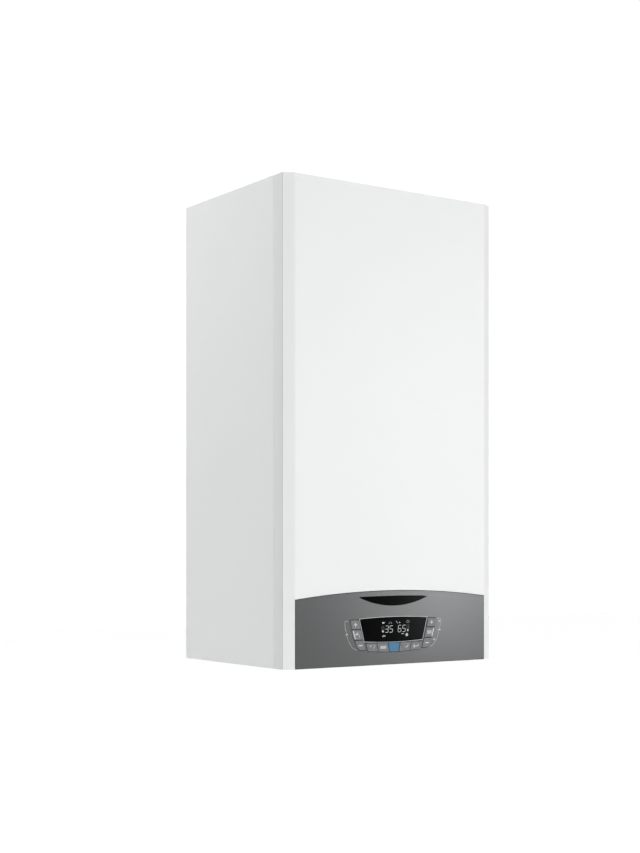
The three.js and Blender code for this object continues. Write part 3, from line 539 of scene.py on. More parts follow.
def marks(name, loops, y, mat, body, t=0.06):
    """Thin printed marks standing t mm in front of y, as one piece."""
    bm = bmesh.new()
    for loop in loops:
        f = [bm.verts.new(V(x, y - t, z)) for x, z in loop]
        b = [bm.verts.new(V(x, y, z)) for x, z in loop]
        n = len(loop)
        bm.faces.new(f)
        bm.faces.new(b[::-1])
        for i in range(n):
            bm.faces.new((f[i], b[i], b[(i + 1) % n], f[(i + 1) % n]))
    bmesh.ops.recalc_face_normals(bm, faces=bm.faces)
    return link(name, to_mesh(bm, name), mat, body)


# ------------------------------------------------------------------ casing
def weighted_bevel(bm, width, pick):
    """Bevels the edges for which pick(a, b) gives a weight, in metres of the two ends."""
    weight = bm.edges.layers.float.new("bevel_weight_edge")
    for e in bm.edges:
        w = pick(*(v.co for v in e.verts))
        if w:
            e[weight] = w
    return applied(to_mesh(bm), [("BEVEL", dict(width=width / 1000, segments=4, limit_method="WEIGHT", use_clamp_overlap=True))])


def front_casing():
    """The front, its chamfers and hems as one outer solid, hollowed, and cut round the control panel."""
    hw, c, r = W / 2, W / 2 - 16.7, W / 2 - 3.1
    half = [(r, SEAM), (r, HEM_REAR), (hw, HEM_REAR), (hw, FRONT + 8), (c, FRONT)]
    outline = half + [(-x, y) for x, y in half[::-1]]
    top = (H - HANG) / 1000

    def pick(a, b):
        mid = (a + b) / 2
        vertical = (a.xy - b.xy).length < 1e-6
        if vertical and mid.y < (FRONT + 1) / 1000:
            return 0.85
        if vertical and mid.y < (HEM_REAR - 0.3) / 1000:
            return 0.18
        if abs(mid.z - top) < 1e-6 and mid.y < (HEM_REAR + 0.2) / 1000:
            return 0.22 if mid.y < (FRONT + 1) / 1000 else 0.12
        return 0

    me = weighted_bevel(prism_mesh(outline, 0, H), 2.0, pick)
    t = 1.5
    ri = r - t
    half = [(ri, SEAM + 12), (ri, -311.54), (c - 0.35, FRONT + t)]
    me = boolean(me, to_mesh(prism_mesh(half + [(-x, y) for x, y in half[::-1]], -5, H - t)))
    lid = prism_mesh([(-r, SEAM + 0.1), (r, SEAM + 0.1), (r, TOP_FRONT - 0.8), (-r, TOP_FRONT - 0.8)], H - t, H)
    me = boolean(me, to_mesh(lid), "UNION")
    g = 0.6
    arch = arc(-182.6 - g, 182.6 + g, 104.3 + g, 115.8 + g, 64)
    me = boolean(me, slab([(-182.6 - g, -5), *arch, (182.6 + g, -5)], FRONT - 5, FRONT + 5))
    smooth(me, 30)
    me = applied(me, [("WEIGHTED_NORMAL", dict(keep_sharp=True, weight=70))])
    return link("front_casing_finished", me, M["white_enamel"], "front_casing", "front_casing", "white_enamel")


def slab(pts, y0, y1):
    """A closed slab over (x, z) points, between y0 and y1."""
    bm = bmesh.new()
    f = [bm.verts.new(V(x, y0, z)) for x, z in pts]
    b = [bm.verts.new(V(x, y1, z)) for x, z in pts]
    n = len(pts)
    bm.faces.new(f)
    bm.faces.new(b[::-1])
    for i in range(n):
        bm.faces.new((f[i], b[i], b[(i + 1) % n], f[(i + 1) % n]))
    bmesh.ops.recalc_face_normals(bm, faces=bm.faces)
    return to_mesh(bm)


def side_panel(name, s):
    """Folded sheet: rear flange, flat side, a step in and a slight flare to the front edge, and the stop flange inside."""
    o, t, fl = W / 2, 1.5, 14
    je, g = JOG_Y - 2.7, JOG_Y + 2.6
    outer = [(o, REAR), (o, g), (o - 1.0, g - 0.1), (o - 1.0, g - 0.75), (o - 0.25, g - 0.9), (o - 1.1, je), (o - 0.1, BAND_FRONT)]
    inner = [(o - 0.1 - t, BAND_FRONT), (o - 1.1 - t, je + 0.2), (o - t, JOG_Y + 0.4), (o - t, REAR - t), (o - fl, REAR - t), (o - fl, REAR)]
    outline = []
    pts = outer + inner
    radius = {0: 1.2, 1: 0.15, 4: 0.2, 5: 1.2, 6: 0.3, 7: 0.4}
    for i, p in enumerate(pts):
        if i in radius:
            a, b, c = pts[i - 1], p, pts[i + 1]
            outline += rounded([a, b, c], radius[i], 5)[1:-1]
        else:
            outline.append(p)
    bm = prism_mesh([(s * x, y) for x, y in outline], 0, H)
    flange = prism_mesh([(s * x, y) for x, y in ((o - fl, STOP_Y), (o - 2.4, STOP_Y), (o - 2.4, STOP_Y - t), (o - fl, STOP_Y - t))], 0, H)
    me = boolean(to_mesh(bm), to_mesh(flange), "UNION")
    for x0, x1, y0, y1 in ((o - 30, o - t + 0.1, JOG_Y + 1.3, 5), (o - 30, o - 2.65, STOP_Y - 2.6, JOG_Y + 1.3)):
        q = [(s * x0, y0), (s * x1, y0), (s * x1, y1), (s * x0, y1)]
        me = boolean(me, to_mesh(prism_mesh(q, H - 2, H + 3)))
    smooth(me, 24)
    me = applied(me, [("WEIGHTED_NORMAL", dict(keep_sharp=True, weight=70))])
    me.update()
    ob = link(name + "_finished", me, M["white_enamel"], "casing", name, "white_enamel")
    ob.data.materials.append(BAND_PAINTED_SHADE)
    for p in ob.data.polygons:  # the flared strip in front of the groove takes a slightly greyer, flatter white: painted shade, standing in for the shade that falls on that band
        c = p.center * 1000
        if abs(c.x) > o - 1.25 and -309.2 < c.y < g - 0.8 and abs(p.normal.x) > 0.6:
            p.material_index = 1
    return ob


front_casing()
side_panel("left_side_panel", -1)
side_panel("right_side_panel", 1)
for s in (-1, 1):  # a dark rubber strip in the seam between the casing's hems and the side panels: painted shade, a dark fill standing in for the seam's shadow
    x0, x1 = sorted((s * 197.0, s * 199.96))
    link("seam_shade_strip_" + ("left" if s < 0 else "right"), box_mesh(x0, x1, HEM_REAR + 0.03, HEM_REAR + 0.6, 1.0, H - 1.0, 0),
         M["rubber"], "front_casing", slot="rubber")
refine("top_panel", 0.6, 40)
refine("back_frame", 0.5, 40)
refine("wall_bracket", 0.4, 40)
refine("bottom_plate", 0.35, 40)

# roof
link("flue_collar_finished",
     lathe_mesh(rounded([(50, 0.3), (64, 0.3), (64, 2.3), (53, 2.3), (53, 13), (50, 13), (50, 0.3)], 0.8), "z", (0, -160, H), 96),
     M["black_plastic"], "casing", "flue_collar", "black_plastic")
link("air_intake_cap_finished",
     lathe_mesh(rounded([(0, -6), (35.5, -6), (35.5, 0.3), (42, 0.3), (42, 2.6), (39, 5), (20, 5), (18.5, 4.2), (0, 4.2)], 0.7), "z", (118, -160, H), 80),
     M["black_plastic"], "casing", "air_intake_cap", "black_plastic")
link("flue_duct_finished",
     lathe_mesh(rounded([(31, 630.3), (33, 630.3), (33, 757), (31, 757), (31, 630.3)], 0.6), "z", (0, -160, 0), 72),
     M["grey_plastic"], "casing", "flue_duct", "grey_plastic")

# ------------------------------------------------------------------ control panel
WIN = dict(x=64.5, z=71.8, mid=74.0, bx=56.0, bz=38.0, bmid=36.0)
window = arc(-WIN["x"], WIN["x"], WIN["z"], WIN["mid"], 24) + arc(WIN["bx"], -WIN["bx"], WIN["bz"], WIN["bmid"], 24)
inlay = arc(-66.4, 66.8, 106.6, 107.6, 12)[:-1] + arc(66.8, -66.4, 105.8, 92, 30)[:-1]
KEY_PLUS = [(67.2, 71.2), (83.8, 71.2), (79.9, 57.0), (64.0, 57.0)]
KEY_MODE = [(63.5, 56.1), (80.0, 56.1), (75.5, 40.5), (59.4, 40.5)]
KEY_MINUS = [(58.9, 39.6), (74.7, 39.6), (69.6, 27.4), (64.2, 24.2), (54.9, 24.2)]
ROW_TOP = [-54.2, -33.4, -11.8, 11.8, 33.4, 54.2]
ROW_BOT = [-50.5, -30.3, -8.9, 8.9, 30.3, 50.5]
ROW_Z = [22.4, 20.9, 20.0, 20.0, 20.9, 22.4]
TOP_Z = 34.4
column = [KEY_PLUS[0], KEY_PLUS[1], KEY_MINUS[1], KEY_MINUS[2], KEY_MINUS[3], KEY_MINUS[4]]
row = [(ROW_TOP[0] + 0.4, TOP_Z), (ROW_TOP[5] - 0.4, TOP_Z), (ROW_BOT[5] - 0.4, ROW_Z[5]), (ROW_BOT[4], ROW_Z[4]),
       (ROW_BOT[3], ROW_Z[3]), (ROW_BOT[2], ROW_Z[2]), (ROW_BOT[1], ROW_Z[1]), (ROW_BOT[0] + 0.4, ROW_Z[0])]
outline = [(-182.6, 0.4), *arc(-182.6, 182.6, 104.3, 115.8, 60), (182.6, 0.4)]
outline = rounded(outline + outline[:1], 1.2)[:-1]
face = rounded([(-182.2, 0.7), *arc(-182.2, 182.6, 104.0, 115.5, 60), (182.6, 0.7), (-182.2, 0.7)], 1.2)[:-1]
fascia = plate_mesh([face], FRONT, FRONT + 3, 0.16, 2)
for hole in (grown(window, 0.4), grown(column, 0.7), grown(mirror(column), 0.7), grown(row, 0.7)):
    fascia = boolean(fascia, slab(hole, FRONT - 5, FRONT + 8))
link("control_fascia_finished", smooth(fascia, 15), M["panel_grey"], "control_panel", "control_fascia", "panel_grey")
plate("display_lens_finished", [window], FRONT - 0.2, FRONT + 3, M["gloss_black"], "control_panel", 0.25, 2, "display_lens", "gloss_black")
plate("fascia_inlay_finished", [inlay], FRONT - 0.3, FRONT + 0.4, M["gloss_black"], "control_panel", 0.2, 2, "fascia_inlay", "gloss_black")
plate("window_trim", [grown(window, 1.3), grown(window, 0.5)], FRONT - 0.15, FRONT + 0.3, LINE, "control_panel", 0.12, 2, slot="panel_grey")
# A black ring filling the gap round the fascia: painted shade, a dark sheet put where the gap's shadow falls.
plate("fascia_gap_shade_liner", [grown(outline, 0.32), grown(face, -0.1)], FRONT + 0.17, FRONT + 2.8, M["black_plastic"], "control_panel", 0.1, 1, slot="black_plastic")
plate("keypad_mat", [[(-96, 14), (96, 14), (96, 78), (-96, 78)]], FRONT + 4.6, FRONT + 5.6, M["rubber"], "control_panel", 0.2, 1, slot="rubber")

PROUD = 1.4
KEYS = {}
for k, pts in (("plus", KEY_PLUS), ("mode", KEY_MODE), ("minus", KEY_MINUS)):
    KEYS["key_left_" + k] = mirror(pts)
    KEYS["key_right_" + k] = pts
for i, k in enumerate(("power", "menu", "centre", "ok", "back")):
    KEYS["key_row_" + k] = [(ROW_TOP[i] + 0.4, TOP_Z), (ROW_TOP[i + 1] - 0.4, TOP_Z), (ROW_BOT[i + 1] - 0.4, ROW_Z[i + 1]), (ROW_BOT[i] + 0.4, ROW_Z[i])]
for name, pts in KEYS.items():
    soft = rounded(pts + pts[:1], 1.0, 3)[:-1]
    plate(name + "_cap", [soft], FRONT - PROUD, FRONT - PROUD + 4.6, M[SLOT_OF[name]], name, 0.7, 3, name, SLOT_OF[name])

KY = FRONT - PROUD  # key faces


def centre(name):
    p = KEYS[name]
    return sum(a for a, _ in p) / len(p), sum(b for _, b in p) / len(p)


for s in ("left", "right"):
    x, z = centre("key_%s_plus" % s)
    marks("mark_%s_plus" % s, stroke([(x - 2.5, z), (x + 2.5, z)], 1.2) + stroke([(x, z - 2.5), (x, z + 2.5)], 1.2), KY, PRINT, "key_%s_plus" % s)
    x, z = centre("key_%s_minus" % s)
    marks("mark_%s_minus" % s, stroke([(x - 3, z + 0.6), (x + 3, z + 0.6)], 1.2), KY, PRINT, "key_%s_minus" % s)
x, z = centre("key_left_mode")
tap = (stroke([(x - 3.6, z + 0.6), (x + 1.6, z + 0.6)], 1.5) + ring(x + 1.6, z - 0.6, 1.2, 1.3, 90, 0, 5)
       + stroke([(x - 0.9, z + 1.0), (x - 0.9, z + 2.8)], 0.8) + stroke([(x - 2.5, z + 2.9), (x + 0.7, z + 2.9)], 0.8) + disc(x + 2.8, z - 3.0, 0.75))
bar = lambda sx: [[(sx * 79.0, 54.8), (sx * 77.4, 54.8), (sx * 73.6, 42.2), (sx * 75.2, 42.2)]]
marks("mark_left_mode", tap + bar(-1), KY, PRINT, "key_left_mode")
x, z = centre("key_right_mode")
fins = [q for k in range(4) for q in stroke([(x - 3.6 + k * 2.2, z - 2.2), (x - 3.6 + k * 2.2, z + 2.4)], 1.2)]
marks("mark_right_mode", fins + stroke([(x - 3.8, z - 1.6), (x + 3.2, z - 1.6)], 0.7) + stroke([(x - 3.8, z + 1.8), (x + 3.2, z + 1.8)], 0.7) + bar(1), KY, PRINT, "key_right_mode")
x, z = centre("key_row_power")
marks("mark_row_power", ring(x - 3.4, z + 0.2, 2.0, 0.9, 125, 415, 14) + stroke([(x - 3.4, z + 0.4), (x - 3.4, z + 2.9)], 0.9)
      + ring(x + 3.8, z + 0.6, 1.5, 1.0, 200, 480, 10) + stroke([(x + 3.0, z - 1.6), (x + 4.8, z + 2.8)], 0.8), KY, PRINT, "key_row_power")
x, z = centre("key_row_menu")
marks("mark_row_menu", [q for k in (-1, 0, 1) for q in stroke([(x - 5.2, z + k * 1.5), (x + 5.2, z + k * 1.5)], 0.8)], KY, PRINT, "key_row_menu")
x, z = centre("key_row_ok")
marks("mark_row_ok", ring(x - 3.4, z, 1.9, 0.9, 0, 360, 16) + stroke([(x + 1.2, z - 0.2), (x + 2.9, z - 1.8), (x + 6.0, z + 2.0)], 0.9), KY, PRINT, "key_row_ok")
x, z = centre("key_row_back")
marks("mark_row_back", stroke([(x + 4.6, z + 1.9), (x + 4.6, z - 0.9), (x - 4.4, z - 0.9)], 0.9) + stroke([(x - 2.4, z + 1.2), (x - 4.6, z - 0.9), (x - 2.4, z - 3.0)], 0.9), KY, PRINT, "key_row_back")

# printed brackets and small signs beside the keys
lines = []
for s in (-1, 1):
    lines += stroke([(s * 86.0, 70.2), (s * 93.0, 69.2)], 0.36)
    lines += stroke([(s * 93.0, 69.2), (s * 92.6, 62), (s * 89.6, 49.5), (s * 85.6, 38.5), (s * 80.0, 30.0), (s * 77.0, 27.4), (s * 71.8, 25.6)], 0.36)
lines += stroke([(-90.6, 48.4), (-87.4, 50.2)], 1.0)
lines += disc(90, 65.5, 1.3) + stroke([(88.4, 51.2), (92.0, 51.2)], 1.5) + stroke([(78.5, 36.5), (81.5, 36.5)], 1.1) + stroke([(80, 35), (80, 38)], 1.1)
marks("panel_print", lines, FRONT, PRINT, "control_panel", 0.05)

# display: plain seven-segment figures and small generic signs
SEG = {"3": "abgcd", "5": "afgcd", "6": "afgedc"}


def digit(ch, x, z, w=5.6, h=10.2, t=0.85, lean=0.10):
    """Seven-segment figure: its lower left corner at (x, z), w and h between the middles of its bars."""
    g = 0.25
    seg = {
        "a": ((x + g, z + h), (x + w - g, z + h)), "d": ((x + g, z), (x + w - g, z)), "g": ((x + g, z + h / 2), (x + w - g, z + h / 2)),
        "f": ((x, z + h - g), (x, z + h / 2 + g)), "b": ((x + w, z + h - g), (x + w, z + h / 2 + g)),
        "e": ((x, z + h / 2 - g), (x, z + g)), "c": ((x + w, z + h / 2 - g), (x + w, z + g)),
    }
    loops = []
    for s in SEG[ch]:
        (x0, z0), (x1, z1) = seg[s]
        h2 = t / 2
        if abs(z0 - z1) < 1e-6:
            loop = [(x0, z0), (x0 + h2, z0 + h2), (x1 - h2, z0 + h2), (x1, z0), (x1 - h2, z0 - h2), (x0 + h2, z0 - h2)]
        else:
            loop = [(x0, z1), (x0 - h2, z1 + h2), (x0 - h2, z0 - h2), (x0, z0), (x0 + h2, z0 - h2), (x0 + h2, z1 + h2)]
        loops.append([(u + (v - z) * lean, v) for u, v in loop])
    return loops


LY = FRONT - 0.2
digits = digit("3", -16.9, 50.4) + digit("5", -8.3, 50.4) + digit("6", 8.0, 50.6) + digit("5", 16.6, 50.6)
marks("display_figures", digits, LY, LIT, "control_panel", 0.05)
# tap, thermometer and flame beside the water figure; radiator, clock and house beside the heating figure
bright = (disc(-21.1, 52.3, 1.75) + [[(-22.6, 66.6), (-17.6, 66.6), (-18.8, 64.2), (-21.8, 64.2)]]
          + ring(-6.6, 63.8, 2.5, 1.1, 15, 165, 8) + disc(11.3, 65.2, 0.95)
          + disc(27.0, 52.6, 1.6) + disc(-19.2, 44.9, 1.5) + stroke([(-22.0, 44.4), (-16.4, 45.0)], 1.2)
          + stroke([(15.0, 47.6), (19.6, 47.4)], 0.9) + [[(22.9, 46.6), (25.4, 48.6), (27.9, 46.6), (27.4, 43.6), (23.4, 43.6)]])
marks("display_signs", bright, LY, LIT, "control_panel", 0.05)
faint = (ring(-21.1, 59.0, 1.9, 0.55, 0, 180, 10) + stroke([(-23.0, 59.0), (-23.0, 54.6)], 0.55) + stroke([(-19.2, 59.0), (-19.2, 54.6)], 0.55)
         + ring(27.4, 59.6, 1.8, 0.55, 0, 180, 10) + stroke([(25.6, 59.6), (25.6, 54.8)], 0.55) + stroke([(29.2, 59.6), (29.2, 54.8)], 0.55)
         + stroke([(24.0, 66.2), (27.6, 68.4), (31.0, 66.2), (27.6, 64.0), (24.0, 66.2)], 0.8)
         + stroke([(4.6, 67.6), (7.6, 64.4)], 1.5) + disc(30.6, 66.2, 0.5))
marks("display_faint_signs", faint, LY, glow("display_grey", srgb(120, 122, 124), 0.1), "control_panel", 0.05)

# ------------------------------------------------------------------ inner pieces
CU, BR, CA, BP, GP = M["copper"], M["brass"], M["cast_aluminium"], M["black_plastic"], M["grey_plastic"]


def stack_mesh(rings, angle=35):
    """A closed shape over equal rings of points, the first and last filled."""
    bm = bmesh.new()
    rows = [[bm.verts.new(p) for p in r] for r in rings]
    for a, b in zip(rows, rows[1:]):
        for i in range(len(a)):
            j = (i + 1) % len(a)
            bm.faces.new((a[i], a[j], b[j], b[i]))
    bm.faces.new(rows[0][::-1])
    bm.faces.new(rows[-1])
    bmesh.ops.recalc_face_normals(bm, faces=bm.faces)
    return smooth(to_mesh(bm, "stack"), angle)


def part(name, meshes, node=None, mat=None, body="casing", slot=None):
    """One piece from one or more meshes; a node's piece takes the node's finish and body."""
    for me in meshes:
        if "custom_normal" in me.attributes:
            me.attributes.remove(me.attributes["custom_normal"])
    me = applied(joined(meshes), [("WEIGHTED_NORMAL", dict(keep_sharp=True, weight=60))])
    if node:
        return link(name, me, mat or M[SLOT_OF[node]], BODY_OF[node], node, SLOT_OF[node])
    return link(name, me, mat, body, slot=slot)


def hexed(c, r, h0, h1, axis="z", hole=0.0, turn=0):
    """A hexagon nut; r to its corners."""
    k = min(0.9, (h1 - h0) / 4)
    if hole:
        p = [(hole, h0), (r * 0.92, h0), (r, h0 + k), (r, h1 - k), (r * 0.92, h1), (hole, h1), (hole, h0)]
    else:
        p = [(0, h0), (r * 0.92, h0), (r, h0 + k), (r, h1 - k), (r * 0.92, h1), (0, h1)]
    return lathe_mesh(p, axis, c, 6)


def knob(c, r, h0, h1, axis="z", seg=24, dome=0.6):
    """A round head or stud with a softened end on both sides."""
    k = min(dome, (h1 - h0) / 2.5, r / 2.5)
    return lathe_mesh([(0, h0), (r - k, h0), (r - 0.3 * k, h0 + 0.3 * k), (r, h0 + k), (r, h1 - k), (r - 0.3 * k, h1 - 0.3 * k), (r - k, h1), (0, h1)], axis, c, seg)


def screw_head(c, r, h, axis, sign):
    """A pan head with a cross recess, its foot at c, standing h mm along sign * axis."""
    p = [(0, 0), (r, 0), (r, sign * h * 0.45), (r * 0.86, sign * h * 0.85), (r * 0.55, sign * h), (r * 0.28, sign * h), (r * 0.2, sign * h * 0.5), (0, sign * h * 0.5)]
    return lathe_mesh(p, axis, c, 20)


def pipe(name, node, points, r, steps, sides=28, tension=0.35, extra=()):
    return part(name, [tube_mesh(route(points, tension, steps), r, sides), *extra], node)


def cable(name, points, r, mat, slot="rubber", steps=60):
    return link(name, tube_mesh(route(points, 0.4, steps), r, 12), mat, "casing", slot=slot)


# heat exchanger: ribbed cup with its flange, flue spigot, two water ports and condensate spout
cup = [(104, -250), (117.2, -250), (118, -249.2), (118, -245.8), (117.2, -245), (109, -245), (108, -244)]
for y in (-222, -198, -174, -150, -126):
    cup += [(108, y - 3), (110.2, y - 1.5), (110.2, y + 1.5), (108, y + 3)]
cup += [(108, -100), (107, -97), (104, -96), (0, -96), (0, -100), (104, -100), (104, -250)]
shell = lathe_mesh(cup, "y", (0, 0, 500), 120)
shell = boolean(shell, lathe_mesh([(0, 80), (31, 80), (31, 135), (0, 135)], "z", (0, -160, 500), 48))
part("heat_exchanger_shell_finished", [
    shell,
    lathe_mesh(rounded([(31, 97), (36, 97), (36, 116), (38, 117), (38, 122), (31, 122), (31, 97)], 0.6), "z", (0, -160, 500), 64),
    lathe_mesh([(0, -120), (10.4, -120), (11, -119.4), (11, -84), (0, -84)], "z", (-60, -150, 500), 32),
    lathe_mesh([(0, -120), (10.4, -120), (11, -119.4), (11, -84), (0, -84)], "z", (60, -150, 500), 32),
    lathe_mesh([(0, -120), (8.5, -120), (9, -119.5), (9, -90), (0, -90)], "z", (48, -215, 500), 28),
], "heat_exchanger_shell")
coil = [(90, -242)]
for i in range(7):
    y = -242 + i * 19
    coil += [(97, y + 0.6), (100.2, y + 2.4), (101, y + 5.5), (101, y + 11), (100.2, y + 14.2), (97, y + 16.6)]
coil += [(90, -109), (90, -242)]
part("heat_exchanger_coil_finished", [lathe_mesh(coil, "y", (0, 0, 500), 96)], "heat_exchanger_coil")
part("burner_tube_finished", [lathe_mesh([(30, -250), (42, -250), (42, -247.5), (32, -247.5), (32, -142), (30, -140), (0, -140), (0, -142), (29, -142), (30, -143), (30, -250)], "y", (0, 0, 500), 64)], "burner_tube")
refine("burner_door", 1.2, 38, smooth_angle=38, segments=3)
at = lambda r, a: (r * math.cos(math.radians(a)), 500 + r * math.sin(math.radians(a)))
studs = [at(111, a) for a in (2, 44, 88, 152, 196, 232, 272, 316)]
part("burner_door_nuts", [m for x, z in studs for m in (hexed((x, 0, z), 5.6, -264.2, -259.2, "y"), knob((x, 0, z), 2.6, -267.5, -264, "y", 16, 0.4))], mat=ZINC, slot="stainless")
part("sight_glass_ring", [lathe_mesh(rounded([(5.4, -262.6), (9.5, -262.6), (9.5, -259.2), (5.4, -259.2), (5.4, -262.6)], 0.5), "y", (-52, 0, 462), 36)], mat=BR, slot="brass")
part("sight_glass_pane", [knob((-52, 0, 462), 5.4, -260.9, -259.2, "y", 32, 0.3)], mat=M["gloss_black"], slot="gloss_black")
electrode = (45, 0, 473)
part("ignition_electrode_finished", [
    lathe_mesh([(0, -281.3), (3.6, -281.3), (4.2, -280.8), (4.2, -276), (5, -275.4), (5, -270), (4.4, -269.4), (5, -268.8), (5, -264.3), (7, -263.8), (7, -259.6), (5, -259.6), (5, -242), (0, -242)], "y", electrode, 32),
    box_mesh(43.6, 45, -243, -205, 471.5, 473.5, 0.3), box_mesh(46, 47.4, -243, -205, 471.5, 473.5, 0.3)], "ignition_electrode")
part("electrode_clamp", [plate_mesh([[(34, 467), (34, 479), (56, 479), (56, 467)]], -260.6, -259.3, 0.3, 2), screw_head((38.2, -260.6, 473), 2.6, 2.2, "y", -1), screw_head((52.2, -260.6, 473), 2.6, 2.2, "y", -1)], mat=ZINC, slot="galvanised")

# fan: scroll housing with screw lugs, motor with ribs, mixer with its flange screws, silencer with ribs
refine("fan_housing", 1.0, 38, smooth_angle=38, segments=3)
lugs = [(-118 + (63 - 14 * a / 300) * math.cos(math.radians(a)), 668 + (63 - 14 * a / 300) * math.sin(math.radians(a))) for a in (10, 64, 118, 168, 214, 262)]
part("fan_housing_lugs", [knob((x, 0, z), 4.6, -286.5, -257.5, "y", 24, 0.8) for x, z in lugs], mat=CA, slot="cast_aluminium")
part("fan_housing_screws", [screw_head((x, -286.5, z), 3.0, 2.2, "y", -1) for x, z in lugs], mat=ZINC, slot="stainless")
refine("fan_impeller", 0.3, 38, smooth_angle=38)
ribs = [(5.2, -255.7), (43.2, -255.7), (44, -255), (44, -250.4), (43, -249.6), (40, -248)]
for k in range(7):
    y = -245 + k * 4.2
    ribs += [(40, y), (38.4, y + 0.7), (38.4, y + 1.7), (40, y + 2.4)]
ribs += [(40, -213.5), (38.6, -209.6), (34, -206.4), (31, -206), (0, -206), (0, -240), (5.2, -240), (5.2, -255.7)]
part("fan_motor_finished", [lathe_mesh(ribs, "y", (-118, 0, 668), 72)], "fan_motor")
part("fan_plug", [box_mesh(-168, -156, -238, -216, 648, 664, 1.2), box_mesh(-170.5, -167.5, -235, -219, 650.5, 661.5, 0.6)], mat=GP, slot="grey_plastic")
refine("gas_air_mixer", 0.8, 38, smooth_angle=38, segments=3)
part("mixer_screws", [screw_head((-118 + 25 * math.cos(math.radians(a)), -313, 668 + 25 * math.sin(math.radians(a))), 2.8, 1.8, "y", -1) for a in (45, 135, 225, 315)]
     + [lathe_mesh([(0, -314), (9, -314), (10, -313.4), (10, -312.8), (0, -312.8)], "y", (-118, 0, 668), 40)], mat=ZINC, slot="stainless")
refine("air_silencer", 1.6, 38, smooth_angle=38, segments=3)
part("air_silencer_ribs", [box_mesh(-181, -153, -313.4, -311, z, z + 3.2, 0.9) for z in range(470, 690, 24)], mat=BP, slot="black_plastic")
part("silencer_elbow_clip", [lathe_mesh(rounded([(30.2, -306), (31.6, -306), (31.6, -300), (30.2, -300), (30.2, -306)], 0.4), "y", (-118, 0, 668), 72)], mat=M["stainless"], slot="stainless")

# gas line
refine("gas_valve", 2.2, 38, smooth_angle=38, segments=4)
part("gas_valve_coils", [
    lathe_mesh(rounded([(0, 239), (18.6, 239), (18.6, 258), (16, 264), (6, 264), (6, 266.5), (0, 266.5)], 1.2), "z", (-26, -200, 0), 48),
    box_mesh(-10.5, -3.5, -208, -192, 243, 256, 1.0)], mat=BP, slot="black_plastic")
part("gas_valve_fittings", [
    hexed((-57, -200, 0), 13.5, 250.4, 262, "z", 6.1), hexed((-118, -301, 0), 10.6, 619.5, 629.5, "z", 6.1), hexed((-40, -200, 0), 15.5, 148, 158.2, "z", 9.5),
    knob((-40, 0, 203), 8.5, -241.5, -234.5, "y", 32, 1.0), hexed((-40, 0, 203), 4.6, -243.6, -241.2, "y"),
    knob((-62, 0, 222), 3.4, -238.5, -234.5, "y", 20, 0.6), knob((-18, 0, 222), 3.4, -238.5, -234.5, "y", 20, 0.6)], mat=BR, slot="brass")
part("gas_valve_screws", [screw_head((x, -235, z), 3.2, 2.4, "y", -1) for x, z in ((-69, 176), (-11, 176), (-69, 230), (-11, 230))], mat=ZINC, slot="stainless")
part("gas_valve_plug", [box_mesh(-33, -12, -246, -234.5, 182, 196, 1.2)], mat=GP, slot="grey_plastic")
pipe("gas_pipe_finished", "gas_pipe", [(-57, -200, 250.3), (-57, -200, 275), (-70, -230, 305), (-112, -284, 330), (-124, -299, 370), (-124, -301, 480), (-121, -301, 590), (-118, -301, 612), (-118, -301, 627.7)], 6, 120)

# expansion vessel: two pressed halves with a rolled seam
def vessel(d):
    return [(cx + (40 - d) * math.cos(math.radians(a0 + 7.5 * i)), cz + (40 - d) * math.sin(math.radians(a0 + 7.5 * i)))
            for cx, cz, a0 in ((55, 650, 0), (-55, 650, 90), (-55, 290, 180), (55, 290, 270)) for i in range(13)]


steps = [(36, -92), (13, -92), (8, -91.2), (4.4, -89), (2, -86), (0.6, -82.4), (0, -78), (0, -58.6), (-0.7, -57.4), (-2, -57), (-2.5, -56.4), (-2.5, -53.6), (-2, -53),
         (-0.7, -52.6), (0, -51.4), (0, -29), (0.6, -24.6), (2, -21), (4.4, -18), (8, -15.8), (13, -15), (36, -15)]
part("expansion_vessel_finished", [stack_mesh([[V(x, y, z) for x, z in vessel(d)] for d, y in steps]), knob((60, -55, 0), 8, 240, 252, "z", 28, 0.6)], "expansion_vessel")
part("vessel_fittings", [hexed((60, -55, 0), 10.5, 229, 240.5, "z", 5.6), hexed((111, 0, 130), 10.5, -86.5, -78.5, "y", 5.6), knob((-24, -55, 0), 4.2, 239, 251, "z", 20, 0.8)], mat=BR, slot="brass")
part("vessel_straps", [box_mesh(-24, 24, -15.6, -8.7, z, z + 30, 0.6) for z in (300, 610)], mat=M["galvanised"], slot="galvanised")
pipe("vessel_hose_finished", "vessel_hose", [(60, -55, 239.7), (60, -55, 215), (66, -56, 182), (86, -58, 150), (105, -60, 134), (111, -70, 130), (111, -85.6, 130)], 5.5, 80, 20)


# pipe tails: thread, hexagon nut and neck
def tail(x, r, bore, top):
    p = [(bore, 2), (r - 1.3, 2)]
    z = 2.7
    while z < 10.4:
        p += [(r - 0.05, z + 0.5), (r - 0.95, z + 1.25)]
        z += 1.5
    p += [(r - 1.5, 11.4), (r - 1.5, top), (bore, top), (bore, 2)]
    return [lathe_mesh(p, "z", (x, -135, 0), 64), hexed((x, -135, 0), r + 2.6, 11.4, 19, "z", r - 2)]


